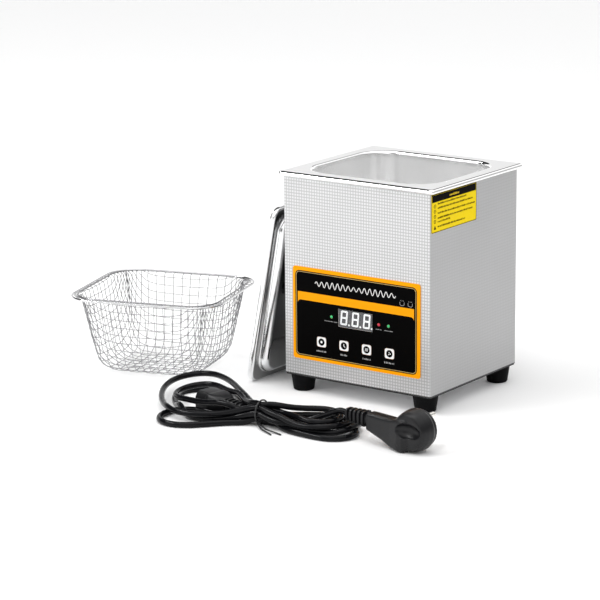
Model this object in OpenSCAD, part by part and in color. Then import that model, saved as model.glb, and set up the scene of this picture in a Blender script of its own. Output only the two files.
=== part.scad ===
// Bench-top ultrasonic cleaner: housing, drawn tank, transducer and driver, with its lid,
// its wire basket and its mains lead laid out round it. Millimetres, +Z up, front towards -Y.
// The origin is on the table under the middle of the housing.

/* [Housing] */
// Width of the housing, left to right
body_w = 175; // [172:1:190]
// Depth of the housing, front to back
body_d = 160; // [158:1:175]
// Height of the tank flange above the table
overall_h = 226; // [222:1:240]
// Thickness of the stainless sheet
sheet_t = 1; // [0.8:0.1:1.2]
// Radius of the housing's bent corners
bend_r = 2; // [1.5:0.1:4]

/* [Feet] */
// Height of a rubber foot
foot_h = 17; // [16:0.5:20]
// Diameter of a foot where it meets the base
foot_top_d = 26; // [20:1:26]
// Diameter of a foot where it meets the table
foot_bottom_d = 21.5; // [18:0.5:24]
// Distance of a foot's centre from the housing's walls
foot_inset = 14; // [13:0.5:18]

/* [Tank] */
// Width of the tank's opening
tank_w = 150; // [140:1:152]
// Depth of the tank's opening, front to back
tank_d = 135; // [125:1:137]
// Depth of the tank from the flange to its floor
tank_depth = 100; // [90:1:102]
// Radius of the tank's upright corners
tank_corner_r = 30; // [22:1:36]
// How far the flange stands out past the housing
flange_overhang = 5; // [4.5:0.1:5.2]
// Height of the flange's rolled edge
flange_edge_h = 5.4; // [4:0.2:6]

/* [Front panel] */
// Width of the printed overlay
panel_w = 152.5; // [148:0.5:156]
// Height of the printed overlay
panel_h = 95; // [90:0.5:98]
// Height of the overlay's lower edge above the table
panel_z = 35.8; // [34:0.1:40]
// Width of a key
key_w = 10.8; // [10:0.2:12]
// Height of a key
key_h = 10; // [9.6:0.2:12]
// Distance between neighbouring keys
key_pitch = 27.2; // [25:0.1:29]
// Width of the display window
display_w = 41; // [38:0.5:44]
// Height of the display window
display_h = 18.3; // [16:0.1:19]

/* [Lid] */
// Width of the lid
lid_w = 188; // [186:1:192]
// Depth of the lid
lid_d = 173; // [172:1:176]
// Height of the lid's raised middle
lid_rise = 9; // [9:0.5:12]
// Angle from upright at which the lid leans, its handle against the housing
lid_lean = 10.5; // [9.5:0.5:12]
// Height of the handle above the raised middle
handle_h = 16; // [14:0.5:18]

/* [Basket] */
// Width of the basket's outer rim wire
basket_w = 166; // [160:1:168]
// Depth of the basket's outer rim wire
basket_d = 151; // [145:1:153]
// Height of the basket
basket_h = 84; // [70:1:88]
// Angle at which the basket stands on the table
basket_turn = 16.9; // [15:0.1:18]

/* [Lead] */
// Diameter of the mains lead
lead_d = 6; // [5.6:0.2:6.4]
// Diameter of the plug's head
plug_head_d = 41; // [40:0.5:42]

/* [Hidden] */
$fn = 64;
// Small overlap that keeps a cut clear of the face that it starts from
eps = 0.5;

// Colours
steel = [0.80, 0.81, 0.82];
polished = [0.86, 0.87, 0.88];
rubber_black = [0.06, 0.06, 0.07];
plastic_black = [0.10, 0.10, 0.11];
board_green = [0.08, 0.35, 0.18];
amber = [1.0, 0.62, 0.02];

// Levels and faces of the housing
floor_z = foot_h;
wall_z = floor_z + sheet_t + 0.3;
flange_under_z = overall_h - sheet_t;
front_y = -body_d / 2;
back_y = body_d / 2;
back_in_y = back_y - sheet_t;
front_in_y = front_y + sheet_t;
lip_w = 11;
foot_x = body_w / 2 - foot_inset;
foot_y = body_d / 2 - foot_inset + 1;
foot_screw_r = 2;
base_screw_x = body_w / 2 - 6.5;
base_screw_y = 30;

// Tank sheet: lip fillet at the opening and fillet at the floor
tank_lip_r = 3;
tank_floor_r = 12;
tank_floor_z = overall_h - tank_depth;
tank_under_z = tank_floor_z - sheet_t;
flange_w = body_w + 2 * flange_overhang;
flange_d = body_d + 2 * flange_overhang;
flange_corner_r = 5;

// Front panel: faces from the outside in
overlay_t = 0.8;
overlay_y = front_y - overlay_t;
key_x0 = -41.4;
key_z = 56.4;
key_gap = 0.3;
key_corner_r = 2;
key_proud = 0.2;
key_back_y = front_in_y + 0.3;
key_flange_t = 0.8;
key_stem_end_y = -75.3;
display_x = -0.5;
display_z = 84.4;
led_z = 84;
led_r = 1.5;
led_green_x = [-29.2, 39];
led_red_x = 27.5;
board_y = -70;
board_t = 1.6;
control_board_w = 138;
control_board_h = 72;
control_board_z = 70;
panel_stud_x = 63;
panel_stud_z = [40, 100];
switch_body_h = 3.5;
switch_button_h = 0.9;

// Transducer stack, downwards from the tank's floor
horn_top_r = 29;
horn_low_r = 22.5;
horn_h = 23;
piezo_h = 5;
electrode_t = 0.4;
back_mass_h = 20;
stack_z = [tank_under_z - horn_h,
           tank_under_z - horn_h - electrode_t - piezo_h,
           tank_under_z - horn_h - 2 * (electrode_t + piezo_h)];
back_mass_z = stack_z[2] - electrode_t - back_mass_h;
bolt_r = 5;

// Driver board
driver_z = 30;
driver_w = 130;
driver_d = 92;
driver_y = 2;
driver_stud = [driver_w / 2 - 5, driver_d / 2 - 5];

// Rear wall
fan_x = -38;
fan_z = 62;
fan_size = 60;
fan_depth = 15;
fan_hole = 25;
fan_shaft_r = 1.5;
inlet_x = 45;
inlet_z = 48;
socket_z = 54;
drawer_z = 37;
drawer_w = 24;
drawer_h = 8.4;
inlet_flange_y = back_y + 2.5;
rocker_z = 100;
rocker_y = back_y - 2.5;
rocker_open = [11.6, 18.4];
rocker_tilt = 10;

// Lid, in its own frame: +Z towards the handle
lid_t = 0.8;
lid_corner_r = 12;
lid_edge_r = 2.5;
lid_skirt_h = 5.5;
lid_flat_w = 9;
lid_hump_corner_r = 18;
lid_hump_r = lid_rise - 2;
lid_y = 6;
handle_l = 90;
handle_w = 16;
handle_waist_w = 9;
handle_hole = 34;
// The lid leans on its handle, this far short of the housing's side
lid_gap = 0.45;
lid_x = -(body_w / 2 + lid_gap + (lid_rise + handle_h) * cos(lid_lean) + handle_w / 2 * sin(lid_lean));
// Height of the lid's middle when its lower edge stands on the table
lid_z = (lid_w / 2 - lid_edge_r) * cos(lid_lean) - lid_edge_r * sin(lid_lean) + lid_edge_r;

// Basket
basket_pos = [-247, -75, 0];
basket_wire_r = 1.2;
basket_ring_r = 0.8;
basket_t = 1;
basket_lip_w = 7;
basket_top = [basket_w - 2 * basket_wire_r - 2 * basket_lip_w,
              basket_d - 2 * basket_wire_r - 2 * basket_lip_w];
basket_foot = [100, 90];
basket_lip_z = basket_h - basket_wire_r;

// Lead: places on the table
tie_pos = [-32, -195, 0];
tie_turn = 4;
tie_ring_r = 11.8;
tie_wire_r = 0.8;
tie_h = tie_ring_r + tie_wire_r;
plug_pos = [139, -189, plug_head_d / 2];
plug_turn = -6;
plug_drop = 1.5;
pin_offset = 9.5;
pin_r = 2.4;
pin_root_y = 14;
plug_neck_l = 52;
plug_relief_l = 29;
connector_pos = [-116, -176, 9.5];
connector_turn = -12;

// ---------- shared shapes ----------

// Rectangle with round corners, centred
module rounded_rect(w, d, r) {
    square([w - 2 * r, d], center = true);
    square([w, d - 2 * r], center = true);
    for (sx = [-1, 1], sy = [-1, 1])
        translate([sx * (w / 2 - r), sy * (d / 2 - r)]) circle(r);
}

// Profile carried round a rounded rectangle: its x is the distance outwards from the outline
module sweep_rect(w, d, r) {
    for (side = [0, 1]) {
        half = side == 0 ? d / 2 : w / 2;
        run = side == 0 ? w - 2 * r : d - 2 * r;
        for (turn = [0, 180])
            rotate([0, 0, 90 * side + turn])
                translate([-run / 2, half, 0]) rotate([90, 0, 90])
                    linear_extrude(run) children();
    }
    for (corner = [0:3])
        rotate([0, 0, 90 * corner])
            translate([(corner % 2 == 0 ? w : d) / 2 - r, (corner % 2 == 0 ? d : w) / 2 - r, 0])
                rotate_extrude(angle = 90) translate([r, 0]) children();
}

// Quarter of a ring; quadrant 0 is +x +y, counted anticlockwise
module quarter_ring(outer, inner, quadrant) {
    rotate(90 * quadrant)
        difference() {
            intersection() {
                circle(outer);
                square(outer + 1);
            }
            circle(inner);
        }
}

module box(low, high) {
    translate(low) cube(high - low);
}

// Upright plate with round corners, from y0 back to y1
module rounded_plate(w, h, r, y0, y1) {
    translate([0, y1, 0]) rotate([90, 0, 0]) linear_extrude(y1 - y0) rounded_rect(w, h, r);
}

// Cylinder along +Y from y0 to y1
module rod_y(x, z, r, y0, y1) {
    translate([x, y0, z]) rotate([-90, 0, 0]) cylinder(r = r, h = y1 - y0);
}

// Round-headed screw along -Z with its head's underside at the origin
module screw(shank_r, length, head_r, head_h) {
    translate([0, 0, -length]) cylinder(r = shank_r, h = length);
    difference() {
        cylinder(r1 = head_r, r2 = head_r * 0.75, h = head_h);
        for (turn = [0, 90])
            rotate([0, 0, turn])
                translate([-head_r * 0.5, -0.4, head_h * 0.5]) cube([head_r, 0.8, head_h]);
    }
}

function unit(v) = v / norm(v);
function heading(points, i) =
    unit(points[min(i + 1, len(points) - 1)] - points[max(i - 1, 0)]);

// Wire of round section swept along a list of points; it never runs along side_ref
module wire(points, r, side_ref, sides = 8) {
    last = len(points) - 1;
    polyhedron(
        points = [for (i = [0:last]) let (u = unit(cross(heading(points, i), side_ref)),
                                          v = cross(heading(points, i), u))
                  for (k = [0:sides - 1])
                      points[i] + r * (cos(360 * k / sides) * u + sin(360 * k / sides) * v)],
        faces = concat([[for (k = [0:sides - 1]) k]],
                       [for (i = [0:last - 1], k = [0:sides - 1]) let (n = (k + 1) % sides)
                        [i * sides + n, i * sides + k, (i + 1) * sides + k, (i + 1) * sides + n]],
                       [[for (k = [sides - 1:-1:0]) last * sides + k]]));
}

module at_feet() {
    for (sx = [-1, 1], sy = [-1, 1]) translate([sx * foot_x, sy * foot_y, 0]) children();
}

module at_lid() {
    translate([lid_x, lid_y, lid_z]) rotate([0, 90 + lid_lean, 0]) children();
}

module at_basket() {
    translate(basket_pos) rotate([0, 0, basket_turn]) children();
}

module at_plug() {
    translate(plug_pos) rotate([0, -plug_drop, plug_turn]) children();
}

module at_connector() {
    translate(connector_pos) rotate([0, 0, connector_turn]) children();
}

// ---------- housing, tank and base ----------

module key_windows(y0, y1, gap) {
    for (i = [0:3])
        translate([key_x0 + i * key_pitch, 0, key_z])
            rounded_plate(key_w + 2 * gap, key_h + 2 * gap, key_corner_r + gap, y0, y1);
}

module led_holes(y0, y1, r) {
    for (x = concat(led_green_x, [led_red_x])) rod_y(x, led_z, r, y0, y1);
}

module housing_walls() {
    translate([0, 0, wall_z]) linear_extrude(flange_under_z - wall_z)
        difference() {
            rounded_rect(body_w, body_d, bend_r);
            rounded_rect(body_w - 2 * sheet_t, body_d - 2 * sheet_t, bend_r - sheet_t);
        }
    translate([0, 0, wall_z]) linear_extrude(sheet_t)
        difference() {
            square([body_w - sheet_t, body_d - sheet_t], center = true);
            square([body_w - 2 * lip_w, body_d - 2 * lip_w], center = true);
        }
}

module rear_cutouts(y0, y1) {
    for (row = [-3:3]) {
        half = sqrt(pow(25, 2) - pow(7 * row, 2));
        translate([fan_x, 0, fan_z + 7 * row]) box([-half, y0, -1.7], [half, y1, 1.7]);
    }
    for (sx = [-1, 1], sz = [-1, 1])
        rod_y(fan_x + sx * fan_hole, fan_z + sz * fan_hole, 2.1, y0, y1);
    box([inlet_x - 15.2, y0, inlet_z - 17.2], [inlet_x + 15.2, y1, inlet_z + 17.2]);
    for (sx = [-1, 1]) rod_y(inlet_x + sx * 20, inlet_z, 1.6, y0, y1);
    box([inlet_x - 7.2, y0, rocker_z - 10.6], [inlet_x + 7.2, y1, rocker_z + 10.6]);
}

module housing() {
    color(steel) difference() {
        housing_walls();
        key_windows(front_y - eps, front_in_y + eps, key_gap);
        box([display_x - display_w / 2 + 0.2, front_y - eps, display_z - display_h / 2 + 0.2],
            [display_x + display_w / 2 - 0.2, front_in_y + eps, display_z + display_h / 2 - 0.2]);
        led_holes(front_y - eps, front_in_y + eps, led_r + 0.2);
        rear_cutouts(back_in_y - eps, back_y + eps);
        for (sx = [-1, 1], y = [-base_screw_y, base_screw_y])
            translate([sx * base_screw_x, y, wall_z - eps]) cylinder(r = 1.6, h = 2 * sheet_t);
        translate([0, 0, wall_z - eps]) at_feet() cylinder(r = foot_screw_r + 3, h = 2 * sheet_t);
    }
}

module tank_bowl_profile() {
    translate([tank_lip_r, overall_h - tank_lip_r])
        quarter_ring(tank_lip_r, tank_lip_r - sheet_t, 1);
    translate([0, tank_floor_z + tank_floor_r])
        square([sheet_t, tank_depth - tank_floor_r - tank_lip_r]);
    translate([-tank_floor_r, tank_floor_z + tank_floor_r])
        quarter_ring(tank_floor_r + sheet_t, tank_floor_r, 3);
}

module tank() {
    edge_r = flange_edge_h / 2;
    color(polished) {
        sweep_rect(tank_w, tank_d, tank_corner_r) tank_bowl_profile();
        translate([0, 0, tank_under_z]) linear_extrude(sheet_t)
            rounded_rect(tank_w - 2 * tank_floor_r, tank_d - 2 * tank_floor_r,
                         tank_corner_r - tank_floor_r);
        translate([0, 0, flange_under_z]) linear_extrude(sheet_t)
            difference() {
                rounded_rect(flange_w - 2 * edge_r, flange_d - 2 * edge_r, flange_corner_r - edge_r);
                rounded_rect(tank_w + 2 * tank_lip_r, tank_d + 2 * tank_lip_r,
                             tank_corner_r + tank_lip_r);
            }
        sweep_rect(flange_w, flange_d, flange_corner_r)
            translate([-edge_r, overall_h - edge_r]) {
                quarter_ring(edge_r, edge_r - sheet_t, 0);
                quarter_ring(edge_r, edge_r - sheet_t, 3);
            }
    }
}

module base_plate() {
    color(steel) translate([0, 0, floor_z]) difference() {
        linear_extrude(sheet_t) rounded_rect(body_w - 1, body_d - 1, bend_r);
        translate([0, 0, -eps]) {
            at_feet() cylinder(r = foot_screw_r + 0.2, h = 2 * sheet_t);
            for (sx = [-1, 1], y = [-base_screw_y, base_screw_y])
                translate([sx * base_screw_x, y, 0]) cylinder(r = 1.7, h = 2 * sheet_t);
            for (sx = [-1, 1], i = [-3:3])
                translate([sx * 30 - 18, 8 * i - 1.5, 0]) cube([36, 3, 2 * sheet_t]);
        }
    }
}

module base_screws() {
    color(polished)
        for (sx = [-1, 1], y = [-base_screw_y, base_screw_y])
            translate([sx * base_screw_x, y, floor_z]) rotate([180, 0, 0]) screw(1.5, 7, 3, 2);
}

module foot(sx, sy) {
    round_r = 2;
    color(rubber_black) translate([sx * foot_x, sy * foot_y, 0]) difference() {
        rotate_extrude() difference() {
            union() {
                polygon([[0, 0], [foot_bottom_d / 2 - round_r, 0], [foot_bottom_d / 2, round_r],
                         [foot_top_d / 2, foot_h], [0, foot_h]]);
                translate([foot_bottom_d / 2 - round_r, round_r]) circle(round_r);
            }
            translate([-eps - 5, -1]) square([5 + eps, foot_h + 2]);
        }
        translate([0, 0, -eps]) cylinder(r = 5, h = 8 + eps);
        cylinder(r = foot_screw_r + 0.2, h = foot_h + 1);
    }
}

module foot_screws() {
    color(polished) at_feet() translate([0, 0, 8]) {
        rotate([180, 0, 0]) screw(foot_screw_r, foot_h - 1.5, 4, 2.6);
        difference() {
            translate([0, 0, floor_z + sheet_t - 8 + 0.1]) cylinder(r = 4, h = 3.2, $fn = 6);
            cylinder(r = foot_screw_r + 0.05, h = 30);
        }
    }
}

// ---------- front panel ----------

module panel_overlay() {
    color(amber) difference() {
        translate([0, front_y, panel_z + panel_h / 2]) rotate([90, 0, 0])
            linear_extrude(overlay_t) rounded_rect(panel_w, panel_h, 3);
        key_windows(overlay_y - eps, front_y + eps, key_gap);
        box([display_x - display_w / 2, overlay_y - eps, display_z - display_h / 2],
            [display_x + display_w / 2, front_y + eps, display_z + display_h / 2]);
        led_holes(overlay_y - eps, front_y + eps, led_r + 0.1);
    }
}

// One membrane key: printed face, retaining flange behind the sheet and stem to its switch
module key(index) {
    color("white") translate([key_x0 + index * key_pitch, 0, key_z]) {
        rounded_plate(key_w, key_h, key_corner_r, overlay_y - key_proud, key_back_y);
        box([-key_w / 2 - 1.2, key_back_y, -key_h / 2 - 1.2],
            [key_w / 2 + 1.2, key_back_y + key_flange_t, key_h / 2 + 1.2]);
        rod_y(0, 0, 2, key_back_y, key_stem_end_y);
    }
}

module display_lens() {
    color([0.45, 0.46, 0.48, 0.5])
        box([display_x - display_w / 2 + 0.05, overlay_y, display_z - display_h / 2 + 0.05],
            [display_x + display_w / 2 - 0.05, front_y - 0.05, display_z + display_h / 2 - 0.05]);
}

module display_module() {
    half_w = display_w / 2 - 0.4;
    half_h = display_h / 2 - 0.4;
    color([0.36, 0.37, 0.39])
        box([display_x - half_w, front_y + 0.3, display_z - half_h],
            [display_x + half_w, board_y, display_z + half_h]);
}

// Three slanted seven-segment figures with their points, standing on the module's face
module display_digits() {
    bar = 1.9;
    arm = 5.4;
    tall = 11.4;
    face_y = front_y + 0.3;
    color("white") for (i = [0:2])
        translate([display_x - 14.1 + 13.8 * i, face_y, display_z + 0.4])
            rotate([90, 0, 0]) linear_extrude(0.2) {
                for (level = [-1, 0, 1])
                    translate([0.08 * level * tall / 2, level * tall / 2])
                        square([arm - bar, bar], center = true);
                for (sx = [-1, 1], sz = [-1, 1])
                    translate([sx * arm / 2 + 0.08 * sz * tall / 4, sz * tall / 4])
                        square([bar, tall / 2 - bar * 0.6], center = true);
                translate([arm / 2 + 2.6, -tall / 2 - 0.4]) circle(1);
            }
}

module led(x) {
    rod_y(x, led_z, led_r, overlay_y, board_y);
    translate([x, overlay_y, led_z]) sphere(led_r - 0.3);
}

module leds_green() {
    color([0.25, 0.85, 0.45]) for (x = led_green_x) led(x);
}

module led_red() {
    color([0.9, 0.15, 0.3]) led(led_red_x);
}

module control_board() {
    color(board_green) difference() {
        box([-control_board_w / 2, board_y, control_board_z - control_board_h / 2],
            [control_board_w / 2, board_y + board_t, control_board_z + control_board_h / 2]);
        for (sx = [-1, 1], z = panel_stud_z) rod_y(sx * panel_stud_x, z, 1.6, board_y - 1, board_y + 3);
    }
}

module tact_switches() {
    color(plastic_black) for (i = [0:3]) translate([key_x0 + i * key_pitch, 0, key_z]) {
        box([-3, board_y - switch_body_h, -3], [3, board_y, 3]);
        rod_y(0, 0, 1.75, board_y - switch_body_h - switch_button_h, board_y - switch_body_h);
    }
}

module board_standoffs() {
    color(polished) {
        for (sx = [-1, 1], z = panel_stud_z) difference() {
            rod_y(sx * panel_stud_x, z, 3, front_in_y, board_y);
            rod_y(sx * panel_stud_x, z, 1.55, board_y - 6, board_y + 1);
        }
        for (sx = [-1, 1], sy = [-1, 1])
            translate([sx * driver_stud[0], driver_y + sy * driver_stud[1], floor_z + sheet_t])
                difference() {
                    cylinder(r = 3, h = driver_z - floor_z - sheet_t);
                    translate([0, 0, 3]) cylinder(r = 1.55, h = 20);
                }
    }
}

module board_screws() {
    color(polished) {
        for (sx = [-1, 1], z = panel_stud_z)
            translate([sx * panel_stud_x, board_y + board_t, z]) rotate([-90, 0, 0])
                screw(1.5, 6, 2.8, 2);
        for (sx = [-1, 1], sy = [-1, 1])
            translate([sx * driver_stud[0], driver_y + sy * driver_stud[1], driver_z + board_t])
                screw(1.5, 6, 2.8, 2);
    }
}

// Flat cable from the control board's lower edge to the driver board's front edge
module panel_ribbon() {
    from_y = board_y + board_t;
    to_y = driver_y - driver_d / 2 + 8;
    color([0.6, 0.6, 0.62]) translate([-12, 0, 0]) rotate([90, 0, 90]) linear_extrude(24)
        polygon([[from_y, 44], [from_y + 9, 44], [from_y + 9, 38], [to_y, 38], [to_y, driver_z + board_t],
                 [to_y - 1.2, driver_z + board_t], [to_y - 1.2, 36.8], [from_y + 7.8, 36.8],
                 [from_y + 7.8, 42.8], [from_y, 42.8]]);
}

// ---------- transducer, heaters and driver ----------

module transducer_horn() {
    color([0.75, 0.76, 0.78]) difference() {
        union() {
            translate([0, 0, tank_under_z - 6]) cylinder(r = horn_top_r, h = 6);
            translate([0, 0, stack_z[0]])
                cylinder(r1 = horn_low_r, r2 = horn_top_r, h = horn_h - 6);
        }
        translate([0, 0, stack_z[0] - 1]) cylinder(r = bolt_r + 0.05, h = 15);
    }
}

module stack_ring(z, h, outer, inner) {
    translate([0, 0, z]) difference() {
        cylinder(r = outer, h = h);
        translate([0, 0, -1]) cylinder(r = inner, h = h + 2);
    }
}

module piezo_rings() {
    color([0.92, 0.9, 0.82]) for (i = [1, 2]) stack_ring(stack_z[i], piezo_h, horn_low_r, 7);
}

module transducer_electrodes() {
    color([0.8, 0.6, 0.25]) for (i = [0, 1, 2]) {
        stack_ring(stack_z[i] - electrode_t, electrode_t, horn_low_r, 7);
        translate([horn_low_r - 1, -3, stack_z[i] - electrode_t]) cube([9, 6, electrode_t]);
    }
}

module transducer_back_mass() {
    color([0.45, 0.46, 0.48]) stack_ring(back_mass_z, back_mass_h, horn_low_r, bolt_r + 0.2);
}

module transducer_bolt() {
    head_h = 6;
    color([0.35, 0.35, 0.37]) translate([0, 0, back_mass_z]) {
        cylinder(r = bolt_r, h = tank_under_z - 10 - back_mass_z);
        translate([0, 0, -head_h]) difference() {
            cylinder(r = 8, h = head_h);
            translate([0, 0, -1]) cylinder(r = 4, h = 5, $fn = 6);
        }
    }
}

module heater_pads() {
    outer_y = tank_d / 2 + sheet_t;
    color([0.75, 0.3, 0.12]) for (sy = [-1, 1])
        translate([0, sy * (outer_y + 0.8), 170]) cube([84, 1.6, 56], center = true);
}

module thermostat() {
    face_x = tank_w / 2 + sheet_t;
    color(plastic_black) {
        translate([-face_x, 0, 160]) rotate([0, -90, 0]) cylinder(r = 8, h = 6);
        box([-face_x - 4, -12, 158], [-face_x, 12, 162]);
    }
}

module driver_board() {
    color(board_green) translate([0, driver_y, driver_z]) difference() {
        box([-driver_w / 2, -driver_d / 2, 0], [driver_w / 2, driver_d / 2, board_t]);
        for (sx = [-1, 1], sy = [-1, 1])
            translate([sx * driver_stud[0], sy * driver_stud[1], -1]) cylinder(r = 1.6, h = 4);
    }
}

module heatsink() {
    fins = 7;
    length = 60;
    height = 26;
    pitch = (length - 6) / (fins - 1);
    color([0.7, 0.71, 0.73]) translate([-52, driver_y - length / 2, driver_z + board_t]) {
        cube([4, length, height]);
        cube([14, length, 3]);
        for (i = [0:fins - 1]) translate([3, 2 + i * pitch, 0]) cube([14, 2, height]);
    }
}

module output_transformer() {
    color([0.85, 0.75, 0.35]) translate([18, driver_y - 18, driver_z + board_t]) {
        translate([-15, -13, 0]) cube([30, 26, 4]);
        translate([0, 0, 4]) cylinder(r = 11, h = 14);
        translate([-15, -13, 18]) cube([30, 26, 4]);
    }
}

module capacitors() {
    color([0.15, 0.25, 0.5]) for (i = [0, 1])
        translate([-16 + 20 * i, driver_y + 26, driver_z + board_t]) cylinder(r = 8, h = 26);
}

module heater_relay() {
    color([0.1, 0.3, 0.6]) translate([42, driver_y + 4, driver_z + board_t])
        translate([-7.5, -9.5, 0]) cube([15, 19, 16]);
}

module mains_wires() {
    top_z = driver_z + board_t + 8;
    color([0.55, 0.3, 0.12]) for (sx = [-1, 1]) {
        x = inlet_x + 7 * sx;
        wire([[x, 56, socket_z], [x, 51, socket_z], [x, 46, 46], [x, 40, top_z],
              [x, 38, driver_z + board_t + 0.1]], 1.3, [1, 0, 0]);
    }
}

module transducer_wires() {
    y = 1.5;
    color([0.7, 0.12, 0.1]) {
        wire([[horn_low_r + 9.5, y, stack_z[1]], [horn_low_r + 15, y, 88], [44, -12, 56],
              [52, -24, driver_z + board_t + 0.1]], 1, [1, 0, 0]);
        wire([[horn_low_r + 9.5, -y, stack_z[2] - 1], [horn_low_r + 12, -y - 4, 78],
              [40, -18, 56], [46, -28, driver_z + board_t + 0.1]], 1, [1, 0, 0]);
    }
}

// ---------- rear wall ----------

module fan_frame() {
    y0 = back_in_y - fan_depth;
    color(plastic_black) difference() {
        union() {
            difference() {
                box([fan_x - fan_size / 2, y0, fan_z - fan_size / 2],
                    [fan_x + fan_size / 2, back_in_y, fan_z + fan_size / 2]);
                rod_y(fan_x, fan_z, 28, y0 - 1, back_in_y + 1);
            }
            rod_y(fan_x, fan_z, 12, y0, y0 + 2);
            for (turn = [45:90:315])
                translate([fan_x, y0, fan_z]) rotate([0, turn, 0])
                    translate([10, 0, -1.5]) cube([20, 2, 3]);
            rod_y(fan_x, fan_z, fan_shaft_r, y0, y0 + 11);
        }
        for (sx = [-1, 1], sz = [-1, 1])
            rod_y(fan_x + sx * fan_hole, fan_z + sz * fan_hole, 2.2, y0 - 1, back_in_y + 1);
    }
}

module fan_rotor() {
    y0 = back_in_y - fan_depth + 2.5;
    blades = 7;
    color([0.2, 0.2, 0.22]) translate([fan_x, y0, fan_z]) difference() {
        union() {
            rotate([-90, 0, 0]) cylinder(r = 12, h = 11);
            intersection() {
                rotate([-90, 0, 0]) cylinder(r = 26.5, h = 11);
                for (i = [0:blades - 1])
                    rotate([0, i * 360 / blades, 0]) translate([11, 5.5, 0]) rotate([38, 0, 0])
                        translate([0, -0.7, -8]) cube([20, 1.4, 16]);
            }
        }
        rotate([-90, 0, 0]) translate([0, 0, -1]) cylinder(r = fan_shaft_r + 0.06, h = 10.5);
    }
}

module fan_screws() {
    color(polished) for (sx = [-1, 1], sz = [-1, 1])
        translate([fan_x + sx * fan_hole, back_y, fan_z + sz * fan_hole]) rotate([-90, 0, 0])
            screw(2, 14, 3.8, 2.4);
}

module power_inlet() {
    color(plastic_black) difference() {
        union() {
            box([inlet_x - 15, 62, inlet_z - 17], [inlet_x + 15, back_y, inlet_z + 17]);
            box([inlet_x - 16.5, back_y, inlet_z - 18.5], [inlet_x + 16.5, inlet_flange_y, inlet_z + 18.5]);
            for (sx = [-1, 1]) rod_y(inlet_x + sx * 20, inlet_z, 4.5, back_y, inlet_flange_y);
            box([inlet_x - 20, back_y, inlet_z - 4.5], [inlet_x + 20, inlet_flange_y, inlet_z + 4.5]);
        }
        translate([inlet_x, 0, socket_z]) rotate([-90, 0, 0])
            translate([0, 0, 66]) linear_extrude(20)
                polygon([[-12.2, 8.3], [12.2, 8.3], [12.2, -4], [8.5, -8.3], [-8.5, -8.3], [-12.2, -4]]);
        box([inlet_x - drawer_w / 2 - 0.2, 66, drawer_z - drawer_h / 2 - 0.2],
            [inlet_x + drawer_w / 2 + 0.2, inlet_flange_y + 1, drawer_z + drawer_h / 2 + 0.2]);
        for (sx = [-1, 1]) rod_y(inlet_x + sx * 20, inlet_z, 1.65, back_y - 1, inlet_flange_y + 1);
        for (p = [[-7, -1.5], [7, -1.5], [0, 2.5]])
            box([inlet_x + p[0] - 1.05, 60, socket_z + p[1] - 2.05],
                [inlet_x + p[0] + 1.05, 68, socket_z + p[1] + 2.05]);
    }
}

module inlet_pins() {
    color([0.85, 0.8, 0.6]) for (p = [[-7, -1.5], [7, -1.5], [0, 2.5]])
        box([inlet_x + p[0] - 1, 57, socket_z + p[1] - 2], [inlet_x + p[0] + 1, 79, socket_z + p[1] + 2]);
}

module inlet_screws() {
    color(polished) for (sx = [-1, 1])
        translate([inlet_x + sx * 20, inlet_flange_y, inlet_z]) rotate([-90, 0, 0])
            screw(1.5, 9, 2.9, 1.8);
}

module fuse_drawer() {
    color(plastic_black) translate([inlet_x, 0, drawer_z]) difference() {
        union() {
            box([-drawer_w / 2, 67, -drawer_h / 2], [drawer_w / 2, inlet_flange_y + 0.4, drawer_h / 2]);
            box([-6, inlet_flange_y + 0.4, -0.8], [6, inlet_flange_y + 1.6, 0.8]);
        }
        box([-10.3, 69, -2.8], [10.3, 75, drawer_h]);
    }
}

module fuse() {
    color([0.85, 0.86, 0.8]) translate([inlet_x - 10, 72, drawer_z]) rotate([0, 90, 0]) {
        cylinder(r = 2.6, h = 5.5);
        translate([0, 0, 5.5]) cylinder(r = 2.3, h = 9);
        translate([0, 0, 14.5]) cylinder(r = 2.6, h = 5.5);
    }
}

module rocker_frame() {
    half_x = rocker_open[0] / 2;
    half_z = rocker_open[1] / 2;
    color(plastic_black) translate([inlet_x, 0, rocker_z]) difference() {
        union() {
            box([-7, 60, -10.4], [7, back_y, 10.4]);
            box([-8.5, back_y, -12.5], [8.5, back_y + 1.5, 12.5]);
            for (z = [-6, 0, 6]) box([-2.4, 54, z - 0.4], [2.4, 60, z + 0.4]);
        }
        box([-half_x, 70, -half_z], [half_x, back_y + 3, half_z]);
        translate([0, rocker_y, 0]) rotate([0, 90, 0])
            translate([0, 0, -half_x - 0.9]) cylinder(r = 1.06, h = 2 * half_x + 1.8);
    }
}

// Paddle with its two pivot pins, tipped to one of its two stops
module rocker_paddle() {
    half_x = rocker_open[0] / 2 - 0.4;
    color([0.75, 0.08, 0.06]) translate([inlet_x, rocker_y, rocker_z]) rotate([rocker_tilt, 0, 0]) {
        rotate([90, 0, 90]) translate([0, 0, -half_x]) linear_extrude(2 * half_x)
            polygon([[2, -8], [5.4, -8], [4, 0], [5.4, 8], [2, 8], [-3, 3], [-3, -3]]);
        rotate([0, 90, 0]) translate([0, 0, -half_x - 1]) cylinder(r = 1, h = 2 * half_x + 2);
    }
}

module info_label() {
    color([0.98, 0.83, 0.05]) translate([body_w / 2, -38.5, 201]) rotate([90, 0, 90])
        linear_extrude(0.25) rounded_rect(81, 38, 1.5);
}

// ---------- lid ----------

module lid_hump_profile() {
    low_r = lid_rise - lid_hump_r;
    translate([low_r, low_r]) quarter_ring(low_r + lid_t, low_r, 2);
    translate([-lid_hump_r, low_r]) quarter_ring(lid_hump_r, lid_hump_r - lid_t, 0);
}

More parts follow.
